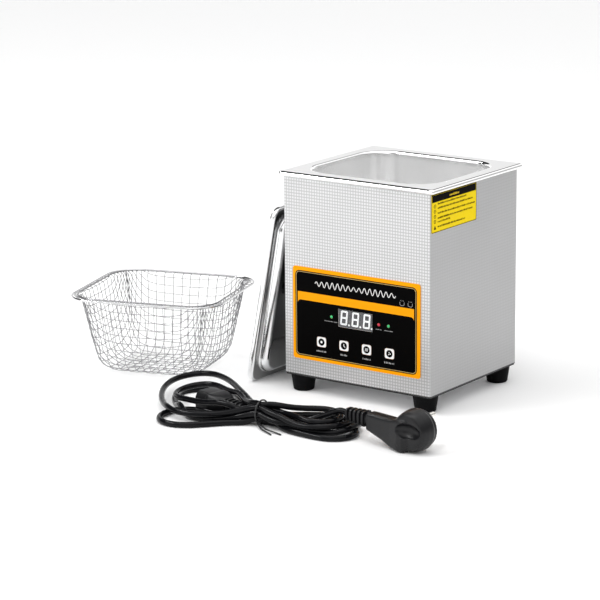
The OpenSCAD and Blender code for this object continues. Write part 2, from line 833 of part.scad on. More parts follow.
module lid_edge_profile() {
    translate([-lid_edge_r, -lid_edge_r]) quarter_ring(lid_edge_r, lid_edge_r - lid_t, 0);
    translate([-lid_t, -lid_skirt_h]) square([lid_t, lid_skirt_h - lid_edge_r]);
}

module lid_panel() {
    hump_w = lid_w - 2 * lid_flat_w;
    hump_d = lid_d - 2 * lid_flat_w;
    hump_corner_r = lid_hump_corner_r;
    low_r = lid_rise - lid_hump_r;
    color(polished) at_lid() difference() {
        union() {
            sweep_rect(hump_w, hump_d, hump_corner_r) lid_hump_profile();
            sweep_rect(lid_w, lid_d, lid_corner_r) lid_edge_profile();
            translate([0, 0, lid_rise - lid_t]) linear_extrude(lid_t)
                rounded_rect(hump_w - 2 * lid_hump_r, hump_d - 2 * lid_hump_r, hump_corner_r - lid_hump_r);
            translate([0, 0, -lid_t]) linear_extrude(lid_t) difference() {
                rounded_rect(lid_w - 2 * lid_edge_r, lid_d - 2 * lid_edge_r, lid_corner_r - lid_edge_r);
                rounded_rect(hump_w + 2 * low_r, hump_d + 2 * low_r, hump_corner_r + low_r);
            }
        }
        for (sy = [-1, 1]) translate([0, sy * handle_hole, 0]) cylinder(r = 2.2, h = 20);
    }
}

// Half outline of the low bar handle: broad foot, waist for the finger tips, rounded head
module handle_profile() {
    foot_w = 13;
    foot_h = 3;
    head_h = 7;
    head_r = 3;
    head_z = handle_h - head_h;
    for (m = [0, 1]) mirror([m, 0, 0]) {
        polygon([[0, 0], [foot_w / 2, 0], [foot_w / 2, foot_h - 1], [handle_waist_w / 2, foot_h + 1],
            [handle_waist_w / 2, head_z - 1.5], [handle_w / 2, head_z + 1.5],
            [handle_w / 2, handle_h - head_r], [handle_w / 2 - head_r, handle_h], [0, handle_h]]);
        translate([handle_w / 2 - head_r, handle_h - head_r]) circle(head_r);
    }
}

module lid_handle() {
    color(plastic_black) at_lid() translate([0, 0, lid_rise]) difference() {
        intersection() {
            rotate([90, 0, 0]) translate([0, 0, -handle_l / 2]) linear_extrude(handle_l)
                handle_profile();
            linear_extrude(handle_h) rounded_rect(handle_w, handle_l, handle_w / 2 - 0.1);
        }
        for (sy = [-1, 1]) translate([0, sy * handle_hole, -1]) cylinder(r = 2.05, h = 12);
    }
}

module lid_handle_screws() {
    color(polished) at_lid()
        for (sy = [-1, 1]) translate([0, sy * handle_hole, lid_rise - lid_t]) rotate([180, 0, 0])
            screw(2, 10, 4, 2.6);
}

// ---------- basket ----------

// Solid with the basket's outer or inner shape, drawn in by inset
module basket_form(inset, low_z) {
    round_r = 20 - inset;
    top_r = 26 - inset;
    hull() {
        for (sx = [-1, 1], sy = [-1, 1]) {
            translate([sx * (basket_foot[0] / 2 - inset - round_r / 2),
                       sy * (basket_foot[1] / 2 - inset - round_r / 2), low_z + round_r])
                sphere(round_r, $fn = 32);
            translate([sx * (basket_top[0] / 2 - inset - top_r),
                       sy * (basket_top[1] / 2 - inset - top_r), basket_lip_z - 1])
                cylinder(r = top_r, h = 1, $fn = 32);
        }
    }
}

module basket_mesh() {
    lip_outer = [basket_w - 4 * basket_wire_r - 0.2, basket_d - 4 * basket_wire_r - 0.2];
    color([0.78, 0.79, 0.81]) at_basket() difference() {
        union() {
            basket_form(0, 0);
            translate([0, 0, basket_lip_z - 0.8]) linear_extrude(0.8)
                rounded_rect(lip_outer[0], lip_outer[1], 30);
        }
        basket_form(basket_t, basket_t);
        translate([0, 0, basket_lip_z - 1.5]) linear_extrude(4)
            rounded_rect(basket_top[0] - 2 * basket_t, basket_top[1] - 2 * basket_t, 25);
    }
}

module wire_ring(w, d, r, wire_r, z) {
    sweep_rect(w, d, r) translate([0, z]) circle(wire_r);
}

module basket_rim() {
    color(steel) at_basket()
        wire_ring(basket_w - 2 * basket_wire_r, basket_d - 2 * basket_wire_r, 30,
                  basket_wire_r, basket_h - basket_wire_r);
}

module basket_inner_ring() {
    color(steel) at_basket()
        wire_ring(basket_top[0] + 4, basket_top[1] + 4, 28, basket_ring_r,
                  basket_lip_z + basket_ring_r + 0.1);
}

// ---------- lead ----------

// Angled plug: round head on the pins' axis, flat neck and ribbed strain relief towards -X
module cord_plug() {
    head_r = plug_head_d / 2;
    ribs = 5;
    relief_end = plug_neck_l + plug_relief_l;
    color(rubber_black) at_plug() difference() {
        union() {
            rod_y(0, 0, head_r, -12, 8);
            rod_y(0, 0, 18.5, 8, pin_root_y);
            hull() {
                rod_y(-6, 0, 13, -9, 6);
                translate([-plug_neck_l, -7, -7.5]) cube([2, 14, 15]);
            }
            translate([-relief_end, 0, 0]) rotate([0, 90, 0])
                cylinder(r1 = lead_d / 2 + 1.5, r2 = 5.5, h = plug_relief_l);
            for (i = [0:ribs - 1])
                translate([-relief_end + 1 + i * 5.2, 0, 0]) rotate([0, 90, 0])
                    cylinder(r1 = 6.2 + 0.35 * i, r2 = 6.3 + 0.35 * i, h = 3.2);
        }
        for (sz = [-1, 1]) rod_y(0, sz * pin_offset, 2.05, 4, pin_root_y + 1);
        translate([-relief_end - 1, 0, 0]) rotate([0, 90, 0]) cylinder(r = lead_d / 2, h = 9);
    }
}

module plug_pins() {
    color([0.8, 0.78, 0.7]) at_plug() for (sz = [-1, 1]) {
        rod_y(0, sz * pin_offset, 2, 4.2, pin_root_y);
        rod_y(0, sz * pin_offset, pin_r, pin_root_y, pin_root_y + 16.6);
        translate([0, pin_root_y + 16.6, sz * pin_offset]) sphere(pin_r);
    }
}

// Appliance connector: grip with a slotted face towards -X and a ribbed relief towards +X
module cord_connector() {
    body_l = 36;
    relief_l = 24;
    ribs = 4;
    color(rubber_black) at_connector() difference() {
        union() {
            rotate([90, 0, 90]) linear_extrude(16)
                polygon([[-13, -9.3], [13, -9.3], [13, 4], [9, 9.3], [-9, 9.3], [-13, 4]]);
            translate([16, 0, 0]) rotate([90, 0, 90]) linear_extrude(body_l - 16)
                rounded_rect(28, 19, 5);
            translate([body_l, 0, 0]) rotate([0, 90, 0])
                cylinder(r1 = 6, r2 = lead_d / 2 + 1.2, h = relief_l);
            for (i = [0:ribs - 1])
                translate([body_l + 2 + i * 5.4, 0, 0]) rotate([0, 90, 0])
                    cylinder(r = 7 - 0.5 * i, h = 3);
        }
        for (p = [[-7, -1.5], [7, -1.5], [0, 2.5]])
            translate([-1, p[0], p[1]]) cube([32, 2.6, 4.6], center = true);
        translate([body_l + relief_l - 8, 0, 0]) rotate([0, 90, 0]) cylinder(r = lead_d / 2, h = 9);
    }
}

// Outline of the folded lead as it lies: a wide lobe, the waist under the tie and a long lobe
module hank_outline() {
    waist = [tie_pos[0], tie_pos[1]];
    difference() {
        union() {
            hull() {
                translate(waist + [-6, 0]) circle(9, $fn = 32);
                translate([-152, -150]) circle(27, $fn = 32);
                translate([-104, -236]) circle(22, $fn = 32);
            }
            hull() {
                translate(waist + [6, 0]) circle(9, $fn = 32);
                translate([33, -178]) circle(13, $fn = 32);
                translate([58, -202]) circle(12, $fn = 32);
            }
        }
        translate([connector_pos[0], connector_pos[1]]) rotate(connector_turn) {
            translate([-6, -16.5]) square([46, 33]);
            translate([36, -8.5]) square([24, 17]);
        }
        translate([waist[0] - 4, waist[1] - 40]) square([8, 80]);
    }
}

module cord_hank() {
    relief_end = plug_neck_l + plug_relief_l;
    color(rubber_black) {
        linear_extrude(17) hank_outline();
        translate(tie_pos + [0, 0, tie_h]) rotate([0, 90, tie_turn])
            translate([0, 0, -10]) cylinder(r = 10.4, h = 20);
        at_plug() translate([-relief_end - 19, 0, 0]) rotate([0, 90, 0])
            cylinder(r = lead_d / 2 - 0.05, h = 19);
    }
}

module cord_tie() {
    color([0.2, 0.2, 0.22]) translate(tie_pos + [0, 0, tie_h]) rotate([0, 0, tie_turn]) {
        rotate([0, 90, 0]) rotate_extrude() translate([tie_ring_r, 0]) circle(tie_wire_r);
        wire([[0, -8, -7.6], [3, -12, -9], [12, -20, -10.4], [28, -28, -tie_h + 1]], tie_wire_r,
             [0, 0, 1]);
        wire([[0.6, -8.4, -7.2], [6, -13, -8.6], [17, -19, -10.2], [36, -23, -tie_h + 1]], tie_wire_r,
             [0, 0, 1]);
    }
}

// ---------- assembly ----------

housing();
tank();
base_plate();
base_screws();
foot(-1, -1);  // foot_front_left
foot(1, -1);  // foot_front_right
foot(-1, 1);  // foot_rear_left
foot(1, 1);  // foot_rear_right
foot_screws();
panel_overlay();
key(0);  // key_power
key(1);  // key_time
key(2);  // key_heat
key(3);  // key_degas
display_lens();
display_module();
display_digits();
leds_green();
led_red();
control_board();
tact_switches();
board_standoffs();
board_screws();
panel_ribbon();
transducer_horn();
piezo_rings();
transducer_electrodes();
transducer_back_mass();
transducer_bolt();
heater_pads();
thermostat();
driver_board();
heatsink();
output_transformer();
capacitors();
heater_relay();
mains_wires();
transducer_wires();
fan_frame();
fan_rotor();
fan_screws();
power_inlet();
inlet_pins();
inlet_screws();
fuse_drawer();
fuse();
rocker_frame();
rocker_paddle();
info_label();
lid_panel();
lid_handle();
lid_handle_screws();
basket_mesh();
basket_rim();
basket_inner_ring();
cord_plug();
plug_pins();
cord_connector();
cord_hank();
cord_tie();
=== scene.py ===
"""Looks of a bench-top ultrasonic cleaner with its lid, wire basket and mains lead.

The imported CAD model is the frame. Every length is in metres in that frame: the front
is towards -Y, up is +Z, and the origin is on the table under the housing.
"""

import math

import bpy
import numpy as np
from mathutils import Matrix, Vector


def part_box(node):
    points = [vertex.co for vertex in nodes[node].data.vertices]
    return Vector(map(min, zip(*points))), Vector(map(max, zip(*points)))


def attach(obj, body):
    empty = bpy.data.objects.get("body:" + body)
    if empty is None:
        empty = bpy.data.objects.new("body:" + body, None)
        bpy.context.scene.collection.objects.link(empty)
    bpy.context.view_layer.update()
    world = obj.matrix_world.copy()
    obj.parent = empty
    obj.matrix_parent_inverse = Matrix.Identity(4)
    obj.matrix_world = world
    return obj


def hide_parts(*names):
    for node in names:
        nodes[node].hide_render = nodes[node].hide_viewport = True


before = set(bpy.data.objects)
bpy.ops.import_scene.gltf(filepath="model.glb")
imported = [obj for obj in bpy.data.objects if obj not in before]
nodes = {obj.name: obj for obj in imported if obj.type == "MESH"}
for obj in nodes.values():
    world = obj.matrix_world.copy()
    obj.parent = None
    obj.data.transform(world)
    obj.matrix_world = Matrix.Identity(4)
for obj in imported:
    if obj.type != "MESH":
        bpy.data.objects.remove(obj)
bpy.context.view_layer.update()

MM = 0.001
scene = bpy.context.scene


def placed(name, data):
    """A new object in the scene that shows the data."""
    made = bpy.data.objects.new(name, data)
    scene.collection.objects.link(made)
    return made


# ---------- camera ----------

CAMERA_TARGET = Vector((-0.12593, 0, 0.07177))
CAMERA_AZIMUTH = math.radians(35.82)
CAMERA_ELEVATION = math.radians(13.73)
CAMERA_DISTANCE = 2.7844
CAMERA_ROLL = math.radians(-0.51)
CAMERA_LENS_MM = 160.63
CAMERA_SENSOR_MM = 36


def add_camera():
    az, el, roll = CAMERA_AZIMUTH, CAMERA_ELEVATION, CAMERA_ROLL
    back = Vector((math.sin(az) * math.cos(el), -math.cos(az) * math.cos(el), math.sin(el)))
    level = Vector((math.cos(az), math.sin(az), 0))
    rise = back.cross(level)
    right = math.cos(roll) * level + math.sin(roll) * rise
    up = math.cos(roll) * rise - math.sin(roll) * level
    data = bpy.data.cameras.new("camera")
    data.lens, data.sensor_width = CAMERA_LENS_MM, CAMERA_SENSOR_MM
    data.clip_start, data.clip_end = 0.1, 60
    camera = placed("camera", data)
    turn = Matrix((right, up, back)).transposed().to_4x4()
    camera.matrix_world = Matrix.Translation(CAMERA_TARGET + back * CAMERA_DISTANCE) @ turn
    scene.camera = camera


add_camera()
scene.view_settings.view_transform = "Standard"


# ---------- mesh tools ----------


def add_piece(name, verts, faces, body, slot, finish=None, smooth=True):
    """A new mesh piece riding on a CAD body, in its slot's finish unless another is given."""
    mesh = bpy.data.meshes.new(name)
    mesh.from_pydata([tuple(v) for v in verts], [], [tuple(f) for f in faces])
    mesh.validate()
    mesh.polygons.foreach_set("use_smooth", [smooth] * len(mesh.polygons))
    mesh.update()
    piece = placed(name, mesh)
    mesh.materials.append(FINISHES[finish or slot])
    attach(piece, body)
    return piece


def keep_flats(piece):
    """Keeps flats flat under smooth shading."""
    weight = piece.modifiers.new("weights", "WEIGHTED_NORMAL")
    weight.keep_sharp = True


def keep_corners(piece):
    """Keeps hard corners crisp and flats flat under smooth shading."""
    edge = piece.modifiers.new("split", "EDGE_SPLIT")
    edge.split_angle = math.radians(50)
    keep_flats(piece)


def made_mesh(piece):
    """A new mesh of a curve, or of a piece with its modifiers."""
    made = piece.evaluated_get(bpy.context.evaluated_depsgraph_get())
    return bpy.data.meshes.new_from_object(made)


def loft(rings):
    """Vertices and faces of a closed skin over equal-length rings of points."""
    n, count = len(rings[0]), len(rings)
    faces = []
    for a in range(0, (count - 1) * n, n):
        for k in range(n):
            m = (k + 1) % n
            faces.append((a + k, a + m, a + n + m, a + n + k))
    faces.append(tuple(range(n - 1, -1, -1)))
    faces.append(tuple(range((count - 1) * n, count * n)))
    return np.concatenate(rings), faces


def merged(parts):
    """One list of vertices and faces out of several."""
    verts, faces, base = [], [], 0
    for v, f in parts:
        verts.append(v)
        faces += [tuple(i + base for i in face) for face in f]
        base += len(v)
    return np.concatenate(verts), faces


def rounded(w, d, r, per_corner=8):
    """Points round a rectangle with round corners, anticlockwise, per_corner + 1 at each."""
    r = max(r, 1e-6)
    out = []
    for quarter in range(4):
        cx = (w / 2 - r) * (1 if quarter in (0, 3) else -1)
        cy = (d / 2 - r) * (1 if quarter in (0, 1) else -1)
        for k in range(per_corner + 1):
            a = math.pi / 2 * (quarter + k / per_corner)
            out.append((cx + r * math.cos(a), cy + r * math.sin(a)))
    return np.array(out)


def arc(cx, cy, r, a0, a1, n):
    """Points on an arc from a0 to a1 degrees."""
    a = np.radians(np.linspace(a0, a1, n))
    return [(cx + r * math.cos(t), cy + r * math.sin(t)) for t in a]


def lengths(v):
    """Each row's length, as a column."""
    return np.linalg.norm(v, axis=1, keepdims=True)


def run_of(points):
    """How far along a path each of its points is."""
    return np.concatenate([[0], np.cumsum(lengths(np.diff(points, axis=0)))])


def tube(p, r, sides=6):
    """Skin of a round wire along points, without twist."""
    t = np.gradient(p, axis=0)
    t /= lengths(t)
    u = np.cross(t[0], (0, 0, 1) if abs(t[0][2]) < 0.9 else (0, 1, 0))
    rings = []
    for i in range(len(p)):
        u = u - (u @ t[i]) * t[i]
        u /= np.linalg.norm(u)
        v = np.cross(t[i], u)
        a = np.arange(sides) * 2 * math.pi / sides
        rings.append(p[i] + r * (np.cos(a)[:, None] * u + np.sin(a)[:, None] * v))
    return loft(rings)


def evenly(points, step):
    """The same path with points a step apart."""
    s = run_of(points)
    t = np.linspace(0, s[-1], max(2, int(round(s[-1] / step)) + 1))
    return np.stack([np.interp(t, s, points[:, k]) for k in range(3)], 1)


def catmull(points, per_span=8):
    """A smooth path through points."""
    p = np.concatenate([[2 * points[0] - points[1]], points, [2 * points[-1] - points[-2]]])
    t = np.linspace(0, 1, per_span, endpoint=False)[:, None]
    out = []
    for i in range(1, len(p) - 2):
        a, b, c, d = p[i - 1 : i + 3]
        out.append(
            0.5 * (2 * b + (c - a) * t + (2 * a - 5 * b + 4 * c - d) * t**2
                   + (3 * b - a - 3 * c + d) * t**3)
        )
    return np.concatenate([*out, points[-1:]])


def turned_z(v, angle):
    """Points turned about the vertical."""
    c, s = math.cos(angle), math.sin(angle)
    x, y = v[..., 0] * c - v[..., 1] * s, v[..., 0] * s + v[..., 1] * c
    return np.stack([x, y, v[..., 2]], -1)


def turned_y(v, angle):
    """Points turned about Y, from +Z towards +X."""
    c, s = math.cos(angle), math.sin(angle)
    x, z = v[..., 0] * c + v[..., 2] * s, -v[..., 0] * s + v[..., 2] * c
    return np.stack([x, v[..., 1], z], -1)


# ---------- places taken from the frame ----------


def middle_of(node):
    """Middle of a CAD node's box."""
    low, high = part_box(node)
    return (low + high) / 2


LID_TURN = math.radians(100.5)
TANK_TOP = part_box("tank")[1].z
HOUSING_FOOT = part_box("housing")[0].z
# Where the painted shadow line along the housing's foot fades out: its lowest millimetre is painted
# dark as shade
HOUSING_SHADOW_LINE_Z = (HOUSING_FOOT + 0.8 * MM, HOUSING_FOOT + 1.2 * MM)
# Where the tank turns from brushed walls to a polished lip
TANK_POLISH_Z = (TANK_TOP - 7 * MM, TANK_TOP - 4.5 * MM)


# ---------- material tools ----------


class Nodes:
    """A small builder for a node tree."""

    def __init__(self, tree):
        self.tree = tree

    def add(self, kind, inputs=(), **settings):
        node = self.tree.nodes.new(kind)
        for key, value in settings.items():
            setattr(node, key, value)
        for key, value in dict(inputs).items():
            self.feed(node.inputs[key], value)
        return node

    def feed(self, socket, value):
        if isinstance(value, bpy.types.NodeSocket):
            self.tree.links.new(value, socket)
        else:
            socket.default_value = value

    def ramp(self, value, low=0.3, high=0.7, out_low=0.0, out_high=1.0, **settings):
        found = {"Value": value, "From Min": low, "From Max": high, "To Min": out_low,
                 "To Max": out_high}
        return self.add("ShaderNodeMapRange", found, **settings).outputs[0]

    def mix(self, factor, a, b):
        found = {"Factor": factor, 6: a, 7: b}
        return self.add("ShaderNodeMix", found, data_type="RGBA").outputs[2]

    def blend(self, factor, a, b):
        return self.add("ShaderNodeMix", {"Factor": factor, 2: a, 3: b}).outputs[0]

    def math(self, operation, a, b=0.0):
        return self.add("ShaderNodeMath", {0: a, 1: b}, operation=operation).outputs[0]

    def parts(self, vector):
        return self.add("ShaderNodeSeparateXYZ", {0: vector}).outputs

    def dot(self, a, b):
        product = self.add("ShaderNodeVectorMath", {0: a, 1: b}, operation="DOT_PRODUCT")
        return product.outputs["Value"]


def shade(color, factor):
    return (*[min(1.0, c * factor) for c in color], 1.0)


class Paint(Nodes):
    """A builder for a material, whose patterns lie in the piece's own frame."""

    sockets = {"color": "Base Color", "metallic": "Metallic", "roughness": "Roughness",
               "ior": "IOR", "coat": "Coat Weight", "transmission": "Transmission Weight",
               "specular": "Specular IOR Level", "normal": "Normal",
               "glow": "Emission Strength", "glow_color": "Emission Color"}

    def __init__(self, name):
        self.material = bpy.data.materials.new(name)
        self.material.use_nodes = True
        super().__init__(self.material.node_tree)
        self.shader = self.tree.nodes["Principled BSDF"]
        self.place = self.add("ShaderNodeTexCoord").outputs["Object"]

    def set(self, **values):
        for key, value in values.items():
            self.feed(self.shader.inputs[self.sockets[key]], value)
        return self.material

    def stretched(self, scale):
        return self.add("ShaderNodeMapping", {"Vector": self.place, "Scale": scale}).outputs[0]

    def noise(self, scale, detail=3.0, vector=None, roughness=0.5):
        found = {"Vector": vector or self.place, "Scale": scale, "Detail": detail,
                 "Roughness": roughness}
        return self.add("ShaderNodeTexNoise", found).outputs["Fac"]

    def between(self, factor, color, dark, light):
        return self.mix(factor, shade(color, dark), shade(color, light))

    def tones(self, color, dark, light, scale=9.0):
        """The color with patches between two factors of it."""
        return self.between(self.ramp(self.noise(scale)), color, dark, light)

    def normal(self):
        return self.add("ShaderNodeNewGeometry").outputs["Normal"]

    def facing(self, axis):
        """1 where the surface faces along an axis, either way, and 0 elsewhere."""
        return self.math("GREATER_THAN", self.math("ABSOLUTE", self.parts(self.normal())[axis]), 0.5)

    def bump(self, height, strength, distance=0.2 * MM):
        found = {"Height": height, "Strength": strength, "Distance": distance}
        return self.add("ShaderNodeBump", found).outputs[0]


def sheet_metal(name, color, roughness, grain=(1, 1, 40), grain_depth=0.05, edge_shadow=1.0):
    """Metal sheet: fine rolling grain, faint smudges, slight tone changes, and side faces that can be
    painted dark as a painted shadow line.
    """
    m = Paint(name)
    streaks = m.noise(60.0, 4.0, m.stretched(grain), 0.6)
    smudges = m.ramp(m.noise(14.0), 0.3, 0.75, roughness - 0.03, roughness + 0.03)
    rough = m.math("ADD", smudges, m.ramp(streaks, 0.3, 0.7, -0.02, 0.03))
    tone = m.tones(color, 0.95, 1.03)
    # Faces that look neither up nor down are painted dark: a painted shadow line
    if edge_shadow < 1:
        tone = m.mix(m.facing(2), shade(color, edge_shadow), tone)
    return m.set(color=tone, metallic=1.0, roughness=rough,
                 normal=m.bump(streaks, grain_depth, 0.3 * MM))


def drawn_tank(name, color, rough_inside, rough_flange):
    """Drawn tank: brushed along its walls, polished from the lip outwards."""
    m = Paint(name)
    streaks = m.noise(14.0, 2.0, m.stretched((4, 4, 1)), 0.4)
    flange = m.ramp(m.parts(m.place)[2], *TANK_POLISH_Z)
    rough = m.ramp(flange, 0.0, 1.0, rough_inside, rough_flange)
    rough = m.math("ADD", rough, m.ramp(streaks, 0.3, 0.7, -0.01, 0.01))
    return m.set(color=m.tones(color, 0.97, 1.02), metallic=m.ramp(flange, 0.0, 1.0, 0.8, 1.0),
                 roughness=rough, normal=m.bump(m.noise(500.0), 0.01))


def polished_lid(name, color, roughness, flat_dark_reflection):
    """Polished lid: its flat faces are painted darker than its rounded walls, a painted dark
    reflection.
    """
    m = Paint(name)
    face = (math.sin(LID_TURN), 0, math.cos(LID_TURN))
    flat = m.ramp(m.math("ABSOLUTE", m.dot(m.normal(), face)), 0.9, 0.985)
    smudges = m.noise(14.0)
    # Flat faces get the darker colour: a painted reflection
    tone = m.between(flat, color, 1.0, flat_dark_reflection)
    tone = m.mix(m.ramp(smudges, 0.3, 0.7, 0.0, 0.12), tone, shade(color, 0.7))
    rough = m.ramp(smudges, 0.3, 0.75, roughness - 0.03, roughness + 0.04)
    return m.set(color=tone, metallic=1.0, roughness=rough,
                 normal=m.bump(m.noise(400.0), 0.02, 0.3 * MM))


def moulded(name, color, roughness, texture=900.0, depth=0.2, tone=0.12, gloss=0.5, coat=0.0):
    """Moulded or printed material: fine surface texture, tone change and varied gloss."""
    m = Paint(name)
    broad = m.noise(35.0)
    paint = m.between(m.ramp(broad), color, 1 - tone, 1 + tone)
    rough = m.ramp(broad, 0.25, 0.75, roughness - 0.04, roughness + 0.05)
    return m.set(color=paint, roughness=rough, coat=coat, specular=gloss,
                 normal=m.bump(m.noise(texture, 2.0), depth))


def embossed_sheet(name, color, roughness, pitch):
    """Steel sheet rolled with a fine square emboss, which runs along each wall. Its colour carries
    painted light and shade: lighter raised squares, darker grooves, darker side walls and a painted
    shadow line along its foot.
    """
    m = Paint(name)
    along = m.parts(m.place)
    side_wall = m.facing(0)
    turns = [m.math("MULTIPLY", part, math.pi / pitch) for part in along]
    waves = [m.math("ABSOLUTE", m.math("SINE", turn)) for turn in turns]
    across = m.blend(side_wall, waves[0], waves[1])
    pillow = m.ramp(m.math("MINIMUM", across, waves[2]), 0.1, 0.75)
    # The front is painted lighter on the raised squares and darker in the grooves: painted light and
    # shade of the emboss
    front = m.between(pillow, color, 0.70, 1.12)
    # The side walls are painted darker than the front, a painted shade, with fainter painted light and
    # shade on their squares
    tone = m.mix(side_wall, front, m.between(pillow, color, 0.68, 0.76))
    tone = m.mix(m.ramp(m.noise(9.0), 0.3, 0.7, 0.0, 0.1), tone, shade(color, 0.75))
    # The housing's foot is painted nearly black here: a painted shadow line
    tone = m.mix(m.ramp(along[2], *HOUSING_SHADOW_LINE_Z), shade(color, 0.12), tone)
    rough = m.ramp(m.noise(14.0), 0.3, 0.75, roughness - 0.03, roughness + 0.03)
    return m.set(color=tone, metallic=1.0, roughness=rough, normal=m.bump(pillow, 0.35))


def figure_with_painted_glow(name, color, glow):
    """Display segment: white moulding with a painted glow that makes it look brighter."""
    m = Paint(name)
    paint = m.tones(color, 0.96, 1.0, 900.0)
    return m.set(color=paint, roughness=0.5, glow=glow, glow_color=paint)


def clear(name, color, roughness):
    """Clear or tinted window with a very slight waviness."""
    m = Paint(name)
    wave = m.noise(60.0, 2.0)
    tint = m.between(m.ramp(wave), color, 0.9, 1.0)
    return m.set(color=tint, roughness=roughness, transmission=1.0, ior=1.46,
                 normal=m.bump(wave, 0.02))


def circuit(name):
    """Green board with lighter tracks running in two directions."""
    m = Paint(name)
    wide = m.noise(160.0, 0.0, m.stretched((1, 0.12, 0.12)))
    tall = m.noise(160.0, 0.0, m.stretched((0.12, 1, 1)))
    tracks = m.math("MAXIMUM", m.ramp(wide, 0.55, 0.57), m.ramp(tall, 0.57, 0.59))
    paint = m.mix(tracks, (0.03, 0.17, 0.07, 1), (0.06, 0.30, 0.12, 1))
    return m.set(color=paint, roughness=0.35, normal=m.bump(tracks, 0.4, 0.05 * MM))


NO_GRAIN, TURNED_GRAIN = (1, 1, 1), (1, 1, 60)
# Each metal's color and roughness, its grain and the grain's depth, the tone its side faces are painted
# as a painted shadow line
METALS = {
    # The base plate's side faces are painted near black, a painted shadow line under the housing
    "base_steel": ((0.86, 0.86, 0.87), 0.5, (1, 1, 40), 0.05, 0.06),
    "basket_wire": ((0.34, 0.34, 0.35), 0.22, NO_GRAIN, 0.02),
    "basket_ring": ((0.66, 0.66, 0.67), 0.10, NO_GRAIN, 0.02),
    "fastener_steel": ((0.66, 0.67, 0.68), 0.3, NO_GRAIN, 0.1),
    "machined_aluminium": ((0.75, 0.76, 0.78), 0.28, TURNED_GRAIN, 0.25),
    "electrode_brass": ((0.75, 0.52, 0.2), 0.3),
    "back_mass_steel": ((0.42, 0.43, 0.45), 0.38, TURNED_GRAIN, 0.25),
    "sink_aluminium": ((0.68, 0.69, 0.71), 0.35),
    "contact_metal": ((0.80, 0.74, 0.55), 0.25),
    "plug_metal": ((0.80, 0.78, 0.74), 0.22),
}
# Each moulding's or print's color and roughness, its texture's fineness and depth, its change
# of tone, its gloss and its clear coat
MOULDINGS = {
    "foot_rubber": ((0.004, 0.004, 0.0045), 0.55, 1200.0, 0.35, 0.12, 0.05),
    "overlay_print": ((1.0, 0.37, 0.0), 0.4, 1500.0, 0.05, 0.02, 0.08),
    "key_print": ((0.93, 0.93, 0.92), 0.4, 1500.0, 0.05, 0.02),
    "display_face": ((0.10, 0.10, 0.105), 0.5, 1200.0, 0.1, 0.06),
    "display_field": ((0.045, 0.045, 0.048), 0.5, 1200.0, 0.1, 0.06),
    "led_green_lens": ((0.06, 0.62, 0.22), 0.25, 800.0, 0.05, 0.05),
    "led_red_lens": ((0.72, 0.03, 0.08), 0.25, 800.0, 0.05, 0.05),
    "switch_black": ((0.02, 0.02, 0.022), 0.45),
    "ribbon_grey": ((0.42, 0.42, 0.44), 0.5),
    "piezo_ceramic": ((0.80, 0.77, 0.66), 0.5),
    "heater_silicone": ((0.55, 0.12, 0.03), 0.6),
    "ferrite_tape": ((0.75, 0.55, 0.10), 0.5),
    "capacitor_sleeve": ((0.03, 0.07, 0.25), 0.3),
    "relay_case": ((0.02, 0.10, 0.38), 0.4),
    "wire_brown": ((0.20, 0.07, 0.025), 0.45),
    "wire_red": ((0.50, 0.02, 0.02), 0.45),
    "fan_black": ((0.016, 0.016, 0.018), 0.45),
    "inlet_black": ((0.016, 0.016, 0.018), 0.42, 1000.0, 0.3),
    "fuse_glass": ((0.70, 0.72, 0.68), 0.15, 600.0, 0.03, 0.1),
    "rocker_red": ((0.50, 0.015, 0.012), 0.22, 800.0, 0.05, 0.05, 0.5, 0.4),
    "label_print": ((0.95, 0.70, 0.0), 0.42, 1500.0, 0.05, 0.02, 0.08),
    "handle_black": ((0.008, 0.008, 0.009), 0.42, 900.0, 0.4, 0.12, 0.25),
    "cord_black": ((0.004, 0.004, 0.005), 0.12, 500.0, 0.02, 0.15, 0.15),
    "plug_black": ((0.007, 0.007, 0.008), 0.3, 1100.0, 0.2, 0.15, 0.28),
    "tie_wire": ((0.014, 0.014, 0.015), 0.4),
    "ink_black": ((0.0012, 0.0011, 0.0011), 0.4, 1500.0, 0.04, 0.05, 0.02),
    "ink_white": ((0.86, 0.86, 0.85), 0.4, 1500.0, 0.04, 0.02, 0.1),
    "ink_grey": ((0.34, 0.34, 0.34), 0.4, 1500.0, 0.04, 0.02, 0.1),
    "ink_gold": ((0.62, 0.44, 0.17), 0.36, 1500.0, 0.04, 0.04, 0.1),
    "ink_yellow": ((0.90, 0.62, 0.02), 0.4, 1500.0, 0.04, 0.02, 0.1),
}
FINISHES = {
    "housing_steel": embossed_sheet("housing_steel", (0.67, 0.67, 0.675), 0.45, 3.1 * MM),
    "tank_steel": drawn_tank("tank_steel", (0.98, 0.98, 0.98), 0.24, 0.05),
    # The lid's last number is the painted dark reflection on its flat faces
    "lid_steel": polished_lid("lid_steel", (0.86, 0.865, 0.87), 0.14, 0.38),
    "display_window": clear("display_window", (0.85, 0.86, 0.87), 0.08),
    # The figures' glow is painted light
    "display_figure": figure_with_painted_glow("display_figure", (0.95, 0.95, 0.94), 0.75),
    "circuit_board": circuit("circuit_board"),
}
FINISHES |= {slot: sheet_metal(slot, *made) for slot, made in METALS.items()}
FINISHES |= {slot: moulded(slot, *made) for slot, made in MOULDINGS.items()}
# Nodes that look different from the rest of their slot
OWN_FINISH = {"basket_rim": "basket_ring", "board_standoffs": "machined_aluminium",
              "thermostat": "machined_aluminium", "rocker_frame": "switch_black"}


def paint_nodes():
    """The paint that a CAD node comes with is named after its slot, and gives way to ours."""
    for name, node in nodes.items():
        slot = OWN_FINISH.get(name, node.data.materials[0].name)
        node.data.materials.clear()
        node.data.materials.append(FINISHES[slot])


paint_nodes()


# ---------- mains lead ----------

